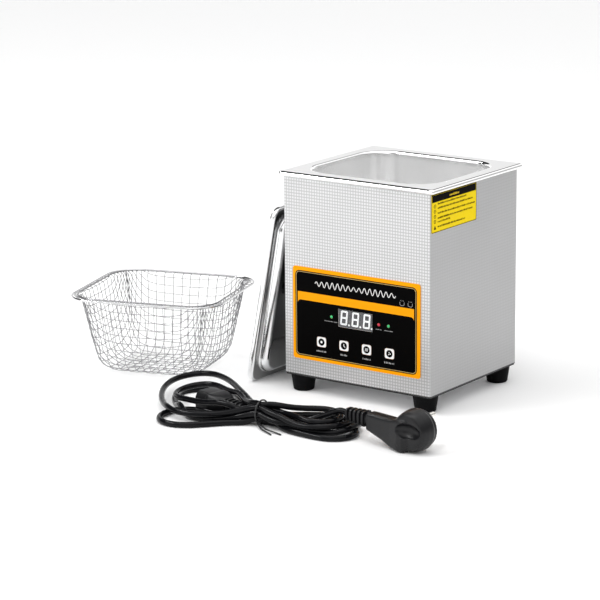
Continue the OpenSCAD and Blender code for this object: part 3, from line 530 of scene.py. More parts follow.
LEAD_D = 6 * MM
LEAD_STEP = 5 * MM
LEAD_BEND_R = 26 * MM
TIE_PLACE = np.array((-32, -195, 12.6)) * MM
TIE_TURN = math.radians(4)
TIE_SLOT_R = 7.9 * MM
TIE_HALF_W = 4.5 * MM
# How far the lead sinks in each round of settling
SETTLE_STEP = 0.05 * MM
CONNECTOR_PLACE = np.array((-116, -176, 9.5)) * MM
CONNECTOR_TURN = math.radians(-12)
CONNECTOR_L = 60 * MM
PLUG_PLACE = np.array((139, -189, 20.5)) * MM
PLUG_TURN = math.radians(-6)
PLUG_DROP = math.radians(1.5)
PLUG_L = 81 * MM
# The turns in the order that the lead runs through them, from the connector to the plug.
# Each is the way out and back in mm from the tie, along it, across it and above the table.
LEAD_TURNS = [
    [(34, -12, 5), (66, -18, 3), (92, -12, 3), (103, 5, 3), (94, 20, 3), (66, 24, 3), (32, 16, 5)],
    [(-30, -22, 5), (-56, -46, 3), (-80, -50, 3), (-99, -28, 3), (-86, 0, 3), (-50, 8, 4),
     (-24, 4, 6)],
    [(36, 24, 6), (64, 38, 4), (84, 36, 4), (97, 20, 8), (88, 0, 9), (64, -10, 9), (32, -8, 10)],
    [(-34, -16, 8), (-68, -22, 8), (-102, 4, 6), (-128, 44, 6), (-110, 72, 8), (-78, 62, 12),
     (-36, 26, 14)],
    [(34, 20, 14), (60, 32, 13), (78, 30, 13), (88, 14, 14), (78, -6, 15), (54, -14, 14),
     (28, -10, 14)],
    [(-36, -18, 14), (-80, -28, 12), (-122, 6, 12), (-145, 56, 14), (-127, 86, 18),
     (-86, 72, 20), (-40, 32, 20)],
    [(30, 2, 20), (56, -8, 18), (76, 0, 18), (80, 16, 18), (66, 30, 19), (46, 26, 20),
     (26, 14, 20)],
    [(-30, 16, 20), (-62, 36, 20), (-94, 48, 20), (-116, 32, 16), (-100, 8, 16), (-66, -4, 18),
     (-30, -6, 20)],
]
# Where each strand lies inside the tie: degrees from the back over the top, None in the middle
TIE_SLOTS = [None, 225, 315, 180, 0, 135, 45, 90, 270]


def heading(turn, drop=0.0):
    """Unit direction on the table, turned from +X and dropping."""
    flat = math.cos(drop)
    return np.array((math.cos(turn) * flat, math.sin(turn) * flat, -math.sin(drop)))


def from_tie(points):
    """Points given in mm along, across and above the table at the tie."""
    return turned_z(np.asarray(points, float) * MM, TIE_TURN) + TIE_PLACE * (1, 1, 0)


def slot_place(angle, along):
    """A strand's place inside the tie, in mm as from_tie takes it."""
    height, r = TIE_PLACE[2] / MM, TIE_SLOT_R / MM
    if angle is None:
        return (along, 0, height)
    a = math.radians(angle)
    return (along, math.cos(a) * r, height + math.sin(a) * r)


def lead_route():
    """First path of the lead, from the connector's relief to the plug's."""
    out, back = heading(CONNECTOR_TURN), heading(PLUG_TURN, PLUG_DROP)
    start, end = CONNECTOR_PLACE + out * CONNECTOR_L, PLUG_PLACE - back * PLUG_L
    path = [start, start + out * 8 * MM]
    for angle, turn in zip(TIE_SLOTS, LEAD_TURNS):
        side = math.copysign(3, turn[0][0])
        path += list(from_tie([slot_place(angle, -side), slot_place(angle, side), *turn]))
    path += list(from_tie([slot_place(TIE_SLOTS[-1], -3), slot_place(TIE_SLOTS[-1], 3)]))
    path += [(path[-1] + end) / 2, end - back * 12 * MM, end]
    return evenly(catmull(np.array(path)), LEAD_STEP)


def settle_lead(p, blocks, rounds=80):
    """The lead settles: it keeps its length, bends no tighter than it can, and lies on the
    table, on itself and round the blocks, which are (start, end, radius)."""
    n = len(p)
    rest = lengths(np.diff(p, axis=0)).mean()
    in_tie = np.abs(turned_z(p - TIE_PLACE, -TIE_TURN)[:, 0]) < TIE_HALF_W
    free = np.where(in_tie, 0.0, 1.0)[:, None]
    free[:3] = free[-3:] = 0
    span = 6
    chord = 2 * LEAD_BEND_R * math.sin(span * rest / 2 / LEAD_BEND_R)
    gap = LEAD_D * 1.01
    every_i, every_j = np.triu_indices(n, 5)
    for step in range(rounds):
        if step % 12 == 0:
            near = np.linalg.norm(p[every_j] - p[every_i], axis=1) < 2.2 * gap
            ii, jj = every_i[near], every_j[near]
        p[:, 2] -= SETTLE_STEP * free[:, 0]
        bend = np.zeros_like(p)
        bend[1:-1] = 0.5 * (p[:-2] + p[2:]) - p[1:-1]
        bend[2:-2] -= 0.5 * (bend[1:-3] + bend[3:-1])
        bend[:2] = bend[-2:] = 0
        p += 0.5 * bend * free
        reach = p[span:] - p[:-span]
        length = lengths(reach)
        push = 0.25 * np.clip(chord - length, 0, None) * reach / length
        p[span:] += push * free[span:]
        p[:-span] -= push * free[:-span]
        for _ in range(4):
            d = p[jj] - p[ii]
            length = lengths(d)
            push = 0.5 * np.clip(gap - length, 0, None) * d / np.maximum(length, 1e-9)
            moved, hits = np.zeros_like(p), np.zeros((n, 1))
            np.add.at(moved, jj, push)
            np.add.at(moved, ii, -push)
            touching = (length < gap).astype(float)
            np.add.at(hits, jj, touching)
            np.add.at(hits, ii, touching)
            p += free * moved / np.maximum(hits, 1)
            for start, end, radius in blocks:
                axis = end - start
                t = np.clip(((p - start) @ axis) / (axis @ axis), 0, 1)[:, None]
                d = p - start - t * axis
                length = lengths(d)
                p += free * np.clip(radius + LEAD_D / 2 - length, 0, None) * d / length
            for first in (0, 1):
                a = np.arange(first, n - 1, 2)
                d = p[a + 1] - p[a]
                length = lengths(d)
                pull = (length - rest) * d / length / np.maximum(free[a] + free[a + 1], 1e-9)
                p[a] += free[a] * pull
                p[a + 1] -= free[a + 1] * pull
            p[:, 2] = np.maximum(p[:, 2], LEAD_D / 2)
    return p


def add_lead():
    """The folded lead as one curve through its settled points."""
    out, back = heading(CONNECTOR_TURN), heading(PLUG_TURN, PLUG_DROP)
    side = np.array((-out[1], out[0], 0)) * 5 * MM
    body_end = CONNECTOR_PLACE + out * 34 * MM
    # The connector's body as two rods side by side, its relief, and the plug's relief
    blocks = [
        (CONNECTOR_PLACE + side, body_end + side, 9.5 * MM),
        (CONNECTOR_PLACE - side, body_end - side, 9.5 * MM),
        (body_end, CONNECTOR_PLACE + out * 52 * MM, 6.5 * MM),
        (PLUG_PLACE - back * 76 * MM, PLUG_PLACE - back * 50 * MM, 7.5 * MM),
    ]
    path = catmull(settle_lead(lead_route(), blocks), 2)
    curve = bpy.data.curves.new("lead", "CURVE")
    curve.dimensions = "3D"
    curve.bevel_depth = LEAD_D / 2
    curve.bevel_resolution = 4
    curve.use_fill_caps = True
    spline = curve.splines.new("POLY")
    spline.points.add(len(path) - 1)
    spline.points.foreach_set("co", np.c_[path, np.ones(len(path))].ravel())
    spline.use_smooth = True
    lead = placed("lead", curve)
    curve.materials.append(FINISHES["cord_black"])
    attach(lead, "cleaner")
    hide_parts("cord_hank")
    return lead, path


lead, lead_path = add_lead()


# ---------- basket ----------

BASKET_PLACE = np.array((*middle_of("basket_rim").xy, 0))
BASKET_TURN = math.radians(16.9)
BASKET_TOP_Z = 82.4 * MM
BASKET_WIRE_R = 0.36 * MM
BASKET_PITCH = 8.6 * MM
# Centres of the corner rounding at the floor and at the top, and the rounding's radius there
BASKET_FLOOR_CORNER = np.array((40, 35)) * MM
BASKET_TOP_CORNER = np.array((48.8, 41.3)) * MM
BASKET_FLOOR_R, BASKET_TOP_R = 20 * MM, 25.6 * MM
BASKET_LIP = 7.2 * MM
# How sharply the wires gather at the middle of a corner
BASKET_GATHER = 1.6
# How softly the mesh turns up at the floor's edge, and half the width of the uncut mesh
BASKET_BLEND = 9 * MM
MESH_HALF_W = 160 * MM


def basket_profile():
    """(radius, height) up one wall from the floor's edge, and the length along it."""
    rise = math.atan2(BASKET_TOP_R - BASKET_FLOOR_R, BASKET_TOP_Z - BASKET_FLOOR_R)
    r = BASKET_FLOOR_R
    curve = [(r * math.sin(a), r - r * math.cos(a)) for a in np.linspace(0, math.pi / 2 - rise, 14)]
    foot, brim = np.array(curve[-1]), np.array((BASKET_TOP_R, BASKET_TOP_Z - 1 * MM))
    wall = [brim * t + foot * (1 - t) for t in np.linspace(0, 1, 30)[1:]]
    top = wall[-1]
    lip = [(top[0] + BASKET_LIP * math.sin(a), top[1] + 1.2 * MM * math.sin(2 * a))
           for a in np.linspace(0, math.pi / 2, 8)[1:]]
    points = np.array(curve + wall + lip)
    return points, run_of(points)


def soft_excess(t):
    """t where it is positive and 0 where it isn't, with a round turn between."""
    return 0.5 * (t + np.sqrt(t * t + BASKET_BLEND**2))


def on_basket(a, b, lift):
    """Where a point of the flat mesh, a and b from its middle, lies once it is pressed."""
    points, run = basket_profile()
    ea = soft_excess(np.abs(a) - BASKET_FLOOR_CORNER[0])
    eb = soft_excess(np.abs(b) - BASKET_FLOOR_CORNER[1])
    base = soft_excess(-BASKET_FLOOR_CORNER[1])
    ax, by = np.abs(a) - ea, np.abs(b) - eb
    up = np.clip(ea + eb - 2 * base, 0, None)
    share = np.clip((eb - base) / np.maximum(up, 1e-6), 0, 1) * 2 - 1
    turn = math.pi / 4 * (1 + np.sign(share) * np.abs(share) ** BASKET_GATHER)
    radius = np.interp(up, run, points[:, 0])
    height = np.interp(up, run, points[:, 1])
    spread = np.clip(height / BASKET_TOP_Z, 0, 1)[..., None]
    ratio = 1 + spread * (BASKET_TOP_CORNER / BASKET_FLOOR_CORNER - 1)
    slope = np.gradient(points, run, axis=0)
    nr = np.interp(up, run, slope[:, 1])
    nz = -np.interp(up, run, slope[:, 0])
    x = np.sign(a) * (ax * ratio[..., 0] + (radius + lift * nr) * np.cos(turn))
    y = np.sign(b) * (by * ratio[..., 1] + (radius + lift * nr) * np.sin(turn))
    return np.stack([x, y, height + lift * nz + BASKET_WIRE_R * 2], -1), up


def basket_wires():
    """The woven wires, one tube each, over and under their neighbours."""
    end = basket_profile()[1][-1]
    parts = []
    half = int(MESH_HALF_W / BASKET_PITCH)
    for family in (0, 1):
        for k in range(-half, half + 1):
            fixed = (k + 0.5) * BASKET_PITCH
            t = np.arange(-MESH_HALF_W, MESH_HALF_W, BASKET_PITCH / 4)
            wave = BASKET_WIRE_R * np.cos(math.pi * t / BASKET_PITCH) * (-1) ** (k + family)
            a, b = (np.full_like(t, fixed), t) if family == 0 else (t, np.full_like(t, fixed))
            path, up = on_basket(a, b, wave)
            path = path[up < end]
            if len(path) >= 6:
                parts.append(tube(path, BASKET_WIRE_R))
    return merged(parts)


def add_basket():
    verts, faces = basket_wires()
    verts = turned_z(verts, BASKET_TURN) + BASKET_PLACE
    piece = add_piece("basket_wires", verts, faces, "basket", "basket_wire")
    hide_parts("basket_mesh")


add_basket()


# ---------- flat printed shapes ----------


def filled(loops, thickness):
    """Flat plate from closed outlines of 2-D points; an outline inside another is a hole.
    Its third coordinate runs from 0 to thickness."""
    curve = bpy.data.curves.new("outline", "CURVE")
    curve.dimensions = "2D"
    curve.fill_mode = "BOTH"
    curve.extrude = thickness / 2
    for loop in loops:
        spline = curve.splines.new("POLY")
        spline.points.add(len(loop) - 1)
        co = np.c_[loop, np.zeros(len(loop)), np.ones(len(loop))]
        spline.points.foreach_set("co", co.ravel())
        spline.use_cyclic_u = True
    shape = placed("outline", curve)
    mesh = made_mesh(shape)
    verts = np.array([v.co for v in mesh.vertices])
    verts[:, 2] += thickness / 2
    faces = [tuple(f.vertices) for f in mesh.polygons]
    bpy.data.objects.remove(shape)
    bpy.data.curves.remove(curve)
    bpy.data.meshes.remove(mesh)
    return verts, faces


def ring_of(w, d, r, centre=(0, 0), per_corner=8):
    return rounded(w, d, r, per_corner) + centre


def disc(r, centre=(0, 0), n=32):
    a = np.arange(n) * 2 * math.pi / n
    return np.c_[np.cos(a), np.sin(a)] * r + centre


def stroke(p, width):
    """Outline of a line of even width with square ends, along points."""
    t = np.gradient(p, axis=0)
    t /= lengths(t)
    n = np.c_[-t[:, 1], t[:, 0]] * width / 2
    return [np.concatenate([p + n, (p - n)[::-1]])]


INK = 0.05 * MM
SUNK = 0.02 * MM


def ink_plates(groups):
    """Plates of ink in metres from groups of outlines in mm: across the face, up it, out of it."""
    plates = [filled([np.asarray(loop) * MM for loop in group], INK + SUNK) for group in groups]
    verts, faces = merged(plates)
    return verts[:, 0], verts[:, 1], verts[:, 2] - SUNK, faces


def print_front(name, groups, face_y, ink, body="cleaner", slot="overlay_print"):
    """Ink on a face that looks towards -Y; the outlines are x and z in mm."""
    across, up, out, faces = ink_plates(groups)
    verts = np.stack([across, face_y - out, up], -1)
    return add_piece(name, verts, faces, body, slot, ink, smooth=False)


def print_side(name, groups, face_x, ink):
    """Ink on a face that looks towards +X; the outlines are y and z in mm."""
    across, up, out, faces = ink_plates(groups)
    verts = np.stack([face_x + out, across, up], -1)
    return add_piece(name, verts, faces, "cleaner", "label_print", ink, smooth=False)


# ---------- front panel ----------

KEY_NAMES = ("power", "time", "heat", "degas")
KEY_X = [middle_of(f"key_{name}").x / MM for name in KEY_NAMES]
KEY_Z = middle_of("key_power").z / MM
# Holes: width, height, corner radius
KEY_HOLE, DISPLAY_HOLE = (11.4, 10.6, 2.3), (41.0, 18.3, 0.2)
KEY_DISC_R = 3.7
DISPLAY_X, DISPLAY_Z = (v / MM for v in middle_of("display_lens").xz)
FIGURE_PITCH, FIRST_FIGURE_X, FIGURE_Z = 13.6, DISPLAY_X - 14.0, DISPLAY_Z + 0.4
LED_Z, LED_HOLE_R = middle_of("led_red").z / MM, 1.65
LED_X = (-29.2, 27.5, 39.0)
FRAME_X, FRAME_Z = (-73.2, 72.4), (39.2, 127.0)
BLOCK_X = (-70.3, 69.0)
BAND_Z = (97.0, 105.4)
BLOCK_CORNER = 4.0
# Wave: start, end, height on the panel, its own height, cycles
TITLE_WAVE = (-49, 47.5, 115.5, 6.5, 15)
TUBS_X, TUBS_Z = (55, 64.5), 109
# Lines of small print: start, end, height on the panel, letter height
SMALL_PRINT = ((-37.5, -22, 78.8, 0.8), (24, 31, 78.8, 0.8), (34, 44, 78.8, 0.8))
CAPTION_HALF_W, CAPTION_Z, CAPTION_H = (6.3, 4.3, 4.8, 6.3), 46.0, 1.7


def band_outline():
    """The orange band between the black blocks, with its points down the lower block's corners."""
    x0, x1 = BLOCK_X
    z0, z1 = BAND_Z
    r = BLOCK_CORNER
    right = arc(x1 - r, z0 - r, r, 0, 90, 9)
    left = arc(x0 + r, z0 - r, r, 90, 180, 9)
    return [(x0, z1), (x1, z1), *right, *left]


def dashes(x0, x1, z, height, seed):
    """A row of plain bars that stands for a line of small print."""
    rng = np.random.default_rng(seed)
    out, x = [], x0
    while x < x1 - 0.5:
        w = min(float(rng.uniform(0.6, 1.5)), x1 - x)
        h = height * float(rng.choice([0.75, 1.0]))
        out.append([[(x, z), (x + w, z), (x + w, z + h), (x, z + h)]])
        x += w + float(rng.choice([0.35, 0.35, 0.9]))
    return out


def ripple(x0, x1, z, height, cycles):
    """A swelling and fading wave, the panel's title mark."""
    x = np.linspace(x0, x1, cycles * 16)
    t = (x - x0) / (x1 - x0)
    swell = 0.55 + 0.45 * np.abs(np.sin(2 * math.pi * t))
    return stroke(np.c_[x, z + height / 2 * swell * np.sin(2 * math.pi * cycles * t)], 0.75)


def tub_mark(x, z):
    """A small open tub with three drops over it."""
    tub = [(x - 2.6, z + 1.6), (x - 2.0, z - 1.6), (x + 2.0, z - 1.6), (x + 2.6, z + 1.6)]
    drops = [[disc(0.35, (x + 1.7 * k, z + 2.9), 12)] for k in (-1, 0, 1)]
    return [stroke(catmull(np.array(tub), 6), 0.45), *drops]


def key_marks():
    """White mark on each key's black disc."""
    hands = [[(-0.45, 1.9), (0.35, 1.9), (0.35, 0.1), (1.7, -1.0), (1.2, -1.6), (-0.45, -0.4)]]
    t = np.linspace(-1.5, 1.5, 13)
    waves = [stroke(np.c_[0.35 * np.sin(2.4 * t) + x, t], 0.5) for x in (-1.2, 0, 1.2)]
    bubbles = [[disc(0.55, (-0.8, -0.9), 14)], [disc(0.75, (0.9, -0.2), 14)],
               [disc(0.5, (-0.3, 1.2), 14)]]
    return {"power": [[disc(1.25)]], "time": [hands], "heat": waves, "degas": bubbles}


def seven_eight():
    """Outlines of one slanted figure eight, in mm from its middle."""
    arm, tall, bar, lean = 6.4, 13.0, 1.9, 0.09
    loops = [rounded(arm + bar, tall + bar, 1.6, 5)]
    for side in (-1, 1):
        hole = rounded(arm - bar, tall / 2 - bar, 0.5, 3)
        loops.append(hole + (0, side * tall / 4))
    return [np.c_[loop[:, 0] + lean * loop[:, 1], loop[:, 1]] for loop in loops]


def add_panel_print():
    overlay_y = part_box("panel_overlay")[0].y
    (x0, x1), (z0, z1) = FRAME_X, FRAME_Z
    centre = ((x0 + x1) / 2, (z0 + z1) / 2)
    w, h = x1 - x0, z1 - z0
    holes = [ring_of(*KEY_HOLE, (x, KEY_Z)) for x in KEY_X]
    holes += [ring_of(*DISPLAY_HOLE, (DISPLAY_X, DISPLAY_Z), 2)]
    holes += [disc(LED_HOLE_R, (x, LED_Z), 20) for x in LED_X]
    field = [ring_of(w, h, 5, centre), band_outline(), *holes]
    print_front("panel_black", [field], overlay_y, "ink_black")
    line = [ring_of(w - 2.0, h - 2.0, 4.2, centre), ring_of(w - 3.0, h - 3.0, 3.8, centre)]
    print_front("panel_gold_line", [line], overlay_y - INK, "ink_gold")
    print_front("panel_title", [ripple(*TITLE_WAVE)], overlay_y - INK, "ink_white")
    small = [mark for x in TUBS_X for mark in tub_mark(x, TUBS_Z)]
    for seed, line in enumerate(SMALL_PRINT, 1):
        small += dashes(*line, seed)
    for seed, (x, half) in enumerate(zip(KEY_X, CAPTION_HALF_W), 10):
        small += dashes(x - half, x + half, CAPTION_Z, CAPTION_H, seed)
    print_front("panel_captions", small, overlay_y - INK, "ink_grey")


def add_key_marks():
    marks = key_marks()
    for name, x in zip(KEY_NAMES, KEY_X):
        face_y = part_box(f"key_{name}")[0].y
        place = np.array((x, KEY_Z))
        body = f"{name}_key"
        disc_shape = [[disc(KEY_DISC_R, place, 40)]]
        print_front(f"key_{name}_disc", disc_shape, face_y, "ink_black", body, "key_print")
        shapes = [[np.asarray(loop) + place for loop in group] for group in marks[name]]
        print_front(f"key_{name}_mark", shapes, face_y - INK, "ink_white", body, "key_print")


def add_figures():
    """The display's three figures with their points, and the darker field inside each."""
    face_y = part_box("display_module")[0].y
    figures, fields = [], []
    for i in range(3):
        place = np.array((FIRST_FIGURE_X + FIGURE_PITCH * i, FIGURE_Z))
        figures.append([loop + place for loop in seven_eight()])
        figures.append([disc(1.1, place + (5.9, -6.7), 16)])
        fields.append([rounded(6.0, 12.4, 0.5, 3) + place])
    piece = print_front("display_figures", figures, face_y - INK, "display_figure",
                        slot="display_figure")
    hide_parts("display_digits")
    print_front("display_fields", fields, face_y, "display_field", slot="display_face")


add_panel_print()
add_key_marks()
add_figures()


# ---------- side label ----------

# Lines of print: height over the label's foot, then how far from its front edge it ends
LABEL_LINES = ((27.6, 62), (23.4, 74), (18.4, 78), (13.6, 74), (10.0, 34), (5.2, 60))
LABEL_DOTS_Z = (26.0, 21.0, 16.0, 11.0)


def add_label_print():
    low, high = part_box("info_label")
    y0, z0, y1, z1 = (v / MM for v in (*low.yz, *high.yz))
    centre = ((y0 + y1) / 2, (z0 + z1) / 2)
    w, h = y1 - y0, z1 - z0
    edge = [ring_of(w - 0.3, h - 0.3, 1.4, centre), ring_of(w - 1.5, h - 1.5, 1.0, centre)]
    left, right, foot, top = y0 + 1.2, y1 - 1.2, z1 - 8.0, z1 - 1.0
    black = [edge, [[(left, foot), (right, foot), (right, top), (left, top)]]]
    for seed, (z, end) in enumerate(LABEL_LINES, 30):
        black += dashes(y0 + 11, y0 + end, z0 + z - 0.6, 1.7, seed)
    for z in LABEL_DOTS_Z:
        dot = (y0 + 6, z0 + z)
        black += [[disc(1.9, dot, 20), disc(1.35, dot, 20)], [disc(0.5, dot, 10)]]
    black.append([[(y0 + 3.9, z0 + 3.2), (y0 + 8.1, z0 + 3.2), (y0 + 6, z0 + 7.2)]])
    print_side("label_black", black, high.x, "ink_black")
    title = dashes(y0 + 32, y0 + 49, z1 - 5.8, 2.2, 40)
    print_side("label_heading", title, high.x + INK, "ink_yellow")


add_label_print()


# ---------- tank and flange ----------

TANK_W, TANK_D, TANK_R = 150 * MM, 135 * MM, 30 * MM
TANK_LIP_R, TANK_FLOOR_R, TANK_SHEET = 3 * MM, 12 * MM, 1 * MM
TANK_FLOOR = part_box("tank")[0].z + TANK_SHEET
FLANGE_W, FLANGE_D, FLANGE_R = 185 * MM, 170 * MM, 5 * MM
FLANGE_EDGE_R, FLANGE_EDGE_W = 2.7 * MM, 3.6 * MM


def rings_along(base, profile):
    """Level rings round a (width, depth, corner radius) outline, each (outwards, height)."""
    rings = []
    w, d, r = base
    for out, z in profile:
        outline = rounded(w + 2 * out, d + 2 * out, r + out, 12)
        rings.append(np.c_[outline, np.full(len(outline), z)])
    return rings


def add_tank():
    """One drawn sheet: bowl, rolled lip, flat flange and its half-round edge, inside and out."""
    bowl, edge = (TANK_W, TANK_D, TANK_R), (FLANGE_W, FLANGE_D, FLANGE_R)
    lip, bend, t = TANK_LIP_R, TANK_FLOOR_R, TANK_SHEET
    top, bend_z = TANK_TOP, TANK_FLOOR + TANK_FLOOR_R
    inside = [(-bend - 18 * MM, TANK_FLOOR), (-bend - 1 * MM, TANK_FLOOR)]
    inside += arc(-bend, bend_z, bend, -90, 0, 10)
    inside += [(0, z) for z in np.linspace(bend_z + 1 * MM, top - lip - 1 * MM, 8)]
    inside += arc(lip, top - lip, lip, 180, 90, 8)
    inside.append((lip + 0.5 * MM, top))
    r, w = FLANGE_EDGE_R, FLANGE_EDGE_W
    rolled = arc(-r, top - r, r, 90, -90, 17) + arc(-r, top - r, r - t, -90, 90, 9)
    rolled = [((out + r) * w / r - w, z) for out, z in rolled]
    rim = [(-w - 0.5 * MM, top), *rolled, (-w - 1 * MM, top - t)]
    outside = [(lip, top - t), *arc(lip, top - lip, lip - t, 90, 180, 5), (t, bend_z)]
    outside += arc(-bend, bend_z, bend + t, 0, -90, 8)
    rings = rings_along(bowl, inside) + rings_along(edge, rim) + rings_along(bowl, outside)
    piece = add_piece("tank_sheet", *loft(rings), "cleaner", "tank_steel")
    keep_flats(piece)
    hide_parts("tank")


add_tank()


# ---------- lid ----------

LID_W, LID_D, LID_R = 188 * MM, 173 * MM, 12 * MM
LID_EDGE_R, LID_SKIRT, LID_SHEET = 2.5 * MM, 5.5 * MM, 0.8 * MM
LID_FLAT, LID_RISE = 9 * MM, 9 * MM
LID_HUMP_R, LID_FOOT_R, LID_HUMP_CORNER = 7 * MM, 2 * MM, 18 * MM
LID_PLACE = np.array((-113.99, 6, 92.01)) * MM


def add_lid():
    """Pressed lid: raised middle, flat margin and turned-down edge, with its thickness."""
    hump = (LID_W - 2 * LID_FLAT, LID_D - 2 * LID_FLAT, LID_HUMP_CORNER)
    rim = (LID_W, LID_D, LID_R)
    t, top, bend, foot, edge = LID_SHEET, LID_RISE, LID_HUMP_R, LID_FOOT_R, LID_EDGE_R
    middle = -bend - 9 * MM
    upper = [(middle, top), (-bend - 0.6 * MM, top), *arc(-bend, top - bend, bend, 90, 0, 12)]
    upper += [*arc(foot, foot, foot, 180, 270, 6), (foot + 0.4 * MM, 0)]
    skirt = [(-edge - 0.4 * MM, 0), *arc(-edge, -edge, edge, 90, 0, 8), (0, -LID_SKIRT)]
    skirt += [(-t, -LID_SKIRT), *arc(-edge, -edge, edge - t, 0, 90, 6), (-edge - 0.4 * MM, -t)]
    lower = [(foot, -t), *arc(foot, foot, foot + t, 270, 180, 6)]
    lower += [*arc(-bend, top - bend, bend - t, 0, 90, 9), (middle, top - t)]
    rings = rings_along(hump, upper) + rings_along(rim, skirt) + rings_along(hump, lower)
    verts, faces = loft(rings)
    verts = turned_y(verts, LID_TURN) + LID_PLACE
    piece = add_piece("lid_sheet", verts, faces, "lid", "lid_steel")
    keep_flats(piece)
    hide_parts("lid_panel")


add_lid()


# ---------- plug and connector ----------

# Each in its own frame, in mm: the lead runs along X and the table is below.
# Sections: place along X, width, height, corner radius, then the middle's y and z
PLUG_HEAD = [(-9, 14.5), (-8.5, 16.8), (-5, 18.6), (0, 19.8), (6, 20.5), (8, 20.2),
             (8.6, 18.5), (13.6, 18.4), (14, 17.8)]
PLUG_NECK = [(-52, 14, 17, 3, -0.2, -0.8), (-44, 14.6, 19.5, 3.4, -0.6, -1.8),
             (-32, 15, 23, 3.4, -1.4, -3.4), (-20, 15.2, 27, 2.6, -2.8, -5.2),
             (-10, 15.4, 30.5, 2.0, -4.6, -4.9), (-4, 14.6, 31, 1.8, -5.0, -4.6),
             (1, 10, 27, 2.0, -4.0, -3.6), (8, 6, 20, 2.4, -2.2, -1.0)]
PLUG_HOLLOW_SIZE, PLUG_HOLLOW_PLACE = (15.5, 9.0, 8.6), (3.0, -13.6, 1.5)
PLUG_CORE = [(-53, 10.5, 11, 4), (-80.5, 8.0, 8.0, 3.4)]
PLUG_RIBS_START, PLUG_RIB_PITCH, PLUG_RIB_L = -79.6, 5.2, 3.2
PLUG_VOXEL = 0.9 * MM
# The connector's keyed face as y and z
CONNECTOR_FACE = np.array([(-13, -9.3), (13, -9.3), (13, 4), (9, 9.3), (-9, 9.3), (-13, 4)])
CONNECTOR_CHAMFER = 1.2
CONNECTOR_GRIP = [(15.5, 26.5, 17.4, 5), (16.6, 27.8, 18.8, 5.4), (21, 27.4, 18.6, 5.4),
                  (28, 24, 17.6, 5.4), (33, 19, 16, 5), (36.5, 15, 13.5, 4.5)]
CONNECTOR_CORE = [(36, 10.5, 10.5, 4.6), (60, 8, 8, 3.8)]
CONNECTOR_RIBS_START, CONNECTOR_RIB_PITCH, CONNECTOR_RIB_L = 38, 5.4, 3
CONNECTOR_SLOTS = ((-7, -1.5), (7, -1.5), (0, 2.5))


def lathe(profile, n):
    """Closed solid from (along, radius) points turned about Y."""
    a = np.arange(n) * 2 * math.pi / n
    return loft([np.stack([radius * np.sin(a), np.full(n, along), radius * np.cos(a)], -1)
                 for along, radius in profile])


def bar_x(sections, per_corner=6):
    """Closed solid through round-cornered sections across X."""
    rings = []
    for x, w, h, r, *middle in sections:
        y, z = middle or (0, 0)
        outline = rounded(w, h, r, per_corner)
        rings.append(np.stack([np.full(len(outline), x), outline[:, 0] + y, outline[:, 1] + z], -1))
    return loft(rings)


def rib(x, length, w, h, edge, corner, growth=0.0):
    """One rib of a relief with soft edges; it may grow a little along its length."""
    far, w1, h1 = x + length, w + growth, h + growth
    return bar_x([(x, w - edge, h - edge, corner), (x + 0.5, w, h, corner + 0.4),
                  (far - 0.5, w1, h1, corner + 0.4), (far, w1 - edge, h1 - edge, corner)])


def from_plug(v):
    tilted = turned_y(v * MM, PLUG_DROP)
    return turned_z(tilted, PLUG_TURN) + PLUG_PLACE


def from_connector(v):
    return turned_z(v * MM, CONNECTOR_TURN) + CONNECTOR_PLACE


def add_moulding(name, parts, to_frame, finish=None, smooth=True):
    """Closed forms in mm as one piece of the lead, in the plug's black unless said."""
    verts, faces = merged(parts)
    return add_piece(name, to_frame(verts), faces, "cleaner", "plug_black", finish, smooth)


def add_plug_moulding():
    """Right-angle plug: round head and flat neck melted together, with a finger hollow."""
    body = add_moulding("plug_moulding", [lathe(PLUG_HEAD, 40), bar_x(PLUG_NECK)], from_plug)
    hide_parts("cord_plug")
    melt = body.modifiers.new("melt", "REMESH")
    melt.mode, melt.voxel_size, melt.use_smooth_shade = "VOXEL", PLUG_VOXEL, True
    ease = body.modifiers.new("ease", "SMOOTH")
    ease.factor, ease.iterations = 0.5, 3
    ball = [(math.cos(a), math.sin(a)) for a in np.linspace(math.pi - 0.02, 0.02, 14)]
    verts, faces = lathe(ball, 32)
    verts = verts * PLUG_HOLLOW_SIZE + PLUG_HOLLOW_PLACE
    cutter = add_moulding("plug_hollow", [(verts, faces)], from_plug)
    carve = body.modifiers.new("carve", "BOOLEAN")
    carve.operation, carve.object, carve.solver = "DIFFERENCE", cutter, "EXACT"
    mesh = made_mesh(body)
    body.modifiers.clear()
    body.data = mesh
    bpy.data.objects.remove(cutter)


def add_plug_relief():
    """The plug's tapering relief: a core, five ribs and a web on either side."""
    parts = [bar_x(PLUG_CORE)]
    for i in range(5):
        x = PLUG_RIBS_START + PLUG_RIB_PITCH * i
        parts.append(rib(x, PLUG_RIB_L, 11.6 + 0.5 * i, 12.6 + 0.6 * i, 1.2, 3, growth=0.1))
    for side in (-1, 1):
        parts.append(bar_x([(-79, 3.0, 1.6, 0.5, 0, side * 4.6), (-53, 3.4, 1.6, 0.5, 0, side * 6.0)]))
    keep_corners(add_moulding("plug_relief", parts, from_plug))


def nose_section(x, inset):
    """The connector's keyed outline with its corners cut, drawn in by an inset."""
    shape = []
    for k, here in enumerate(CONNECTOR_FACE):
        for toward in (CONNECTOR_FACE[k - 1], CONNECTOR_FACE[(k + 1) % 6]):
            step = toward - here
            shape.append(here + step / np.linalg.norm(step) * CONNECTOR_CHAMFER)
    shape = np.array(shape) * (1 - inset / CONNECTOR_FACE[1][0])
    return np.c_[np.full(len(shape), x), shape]


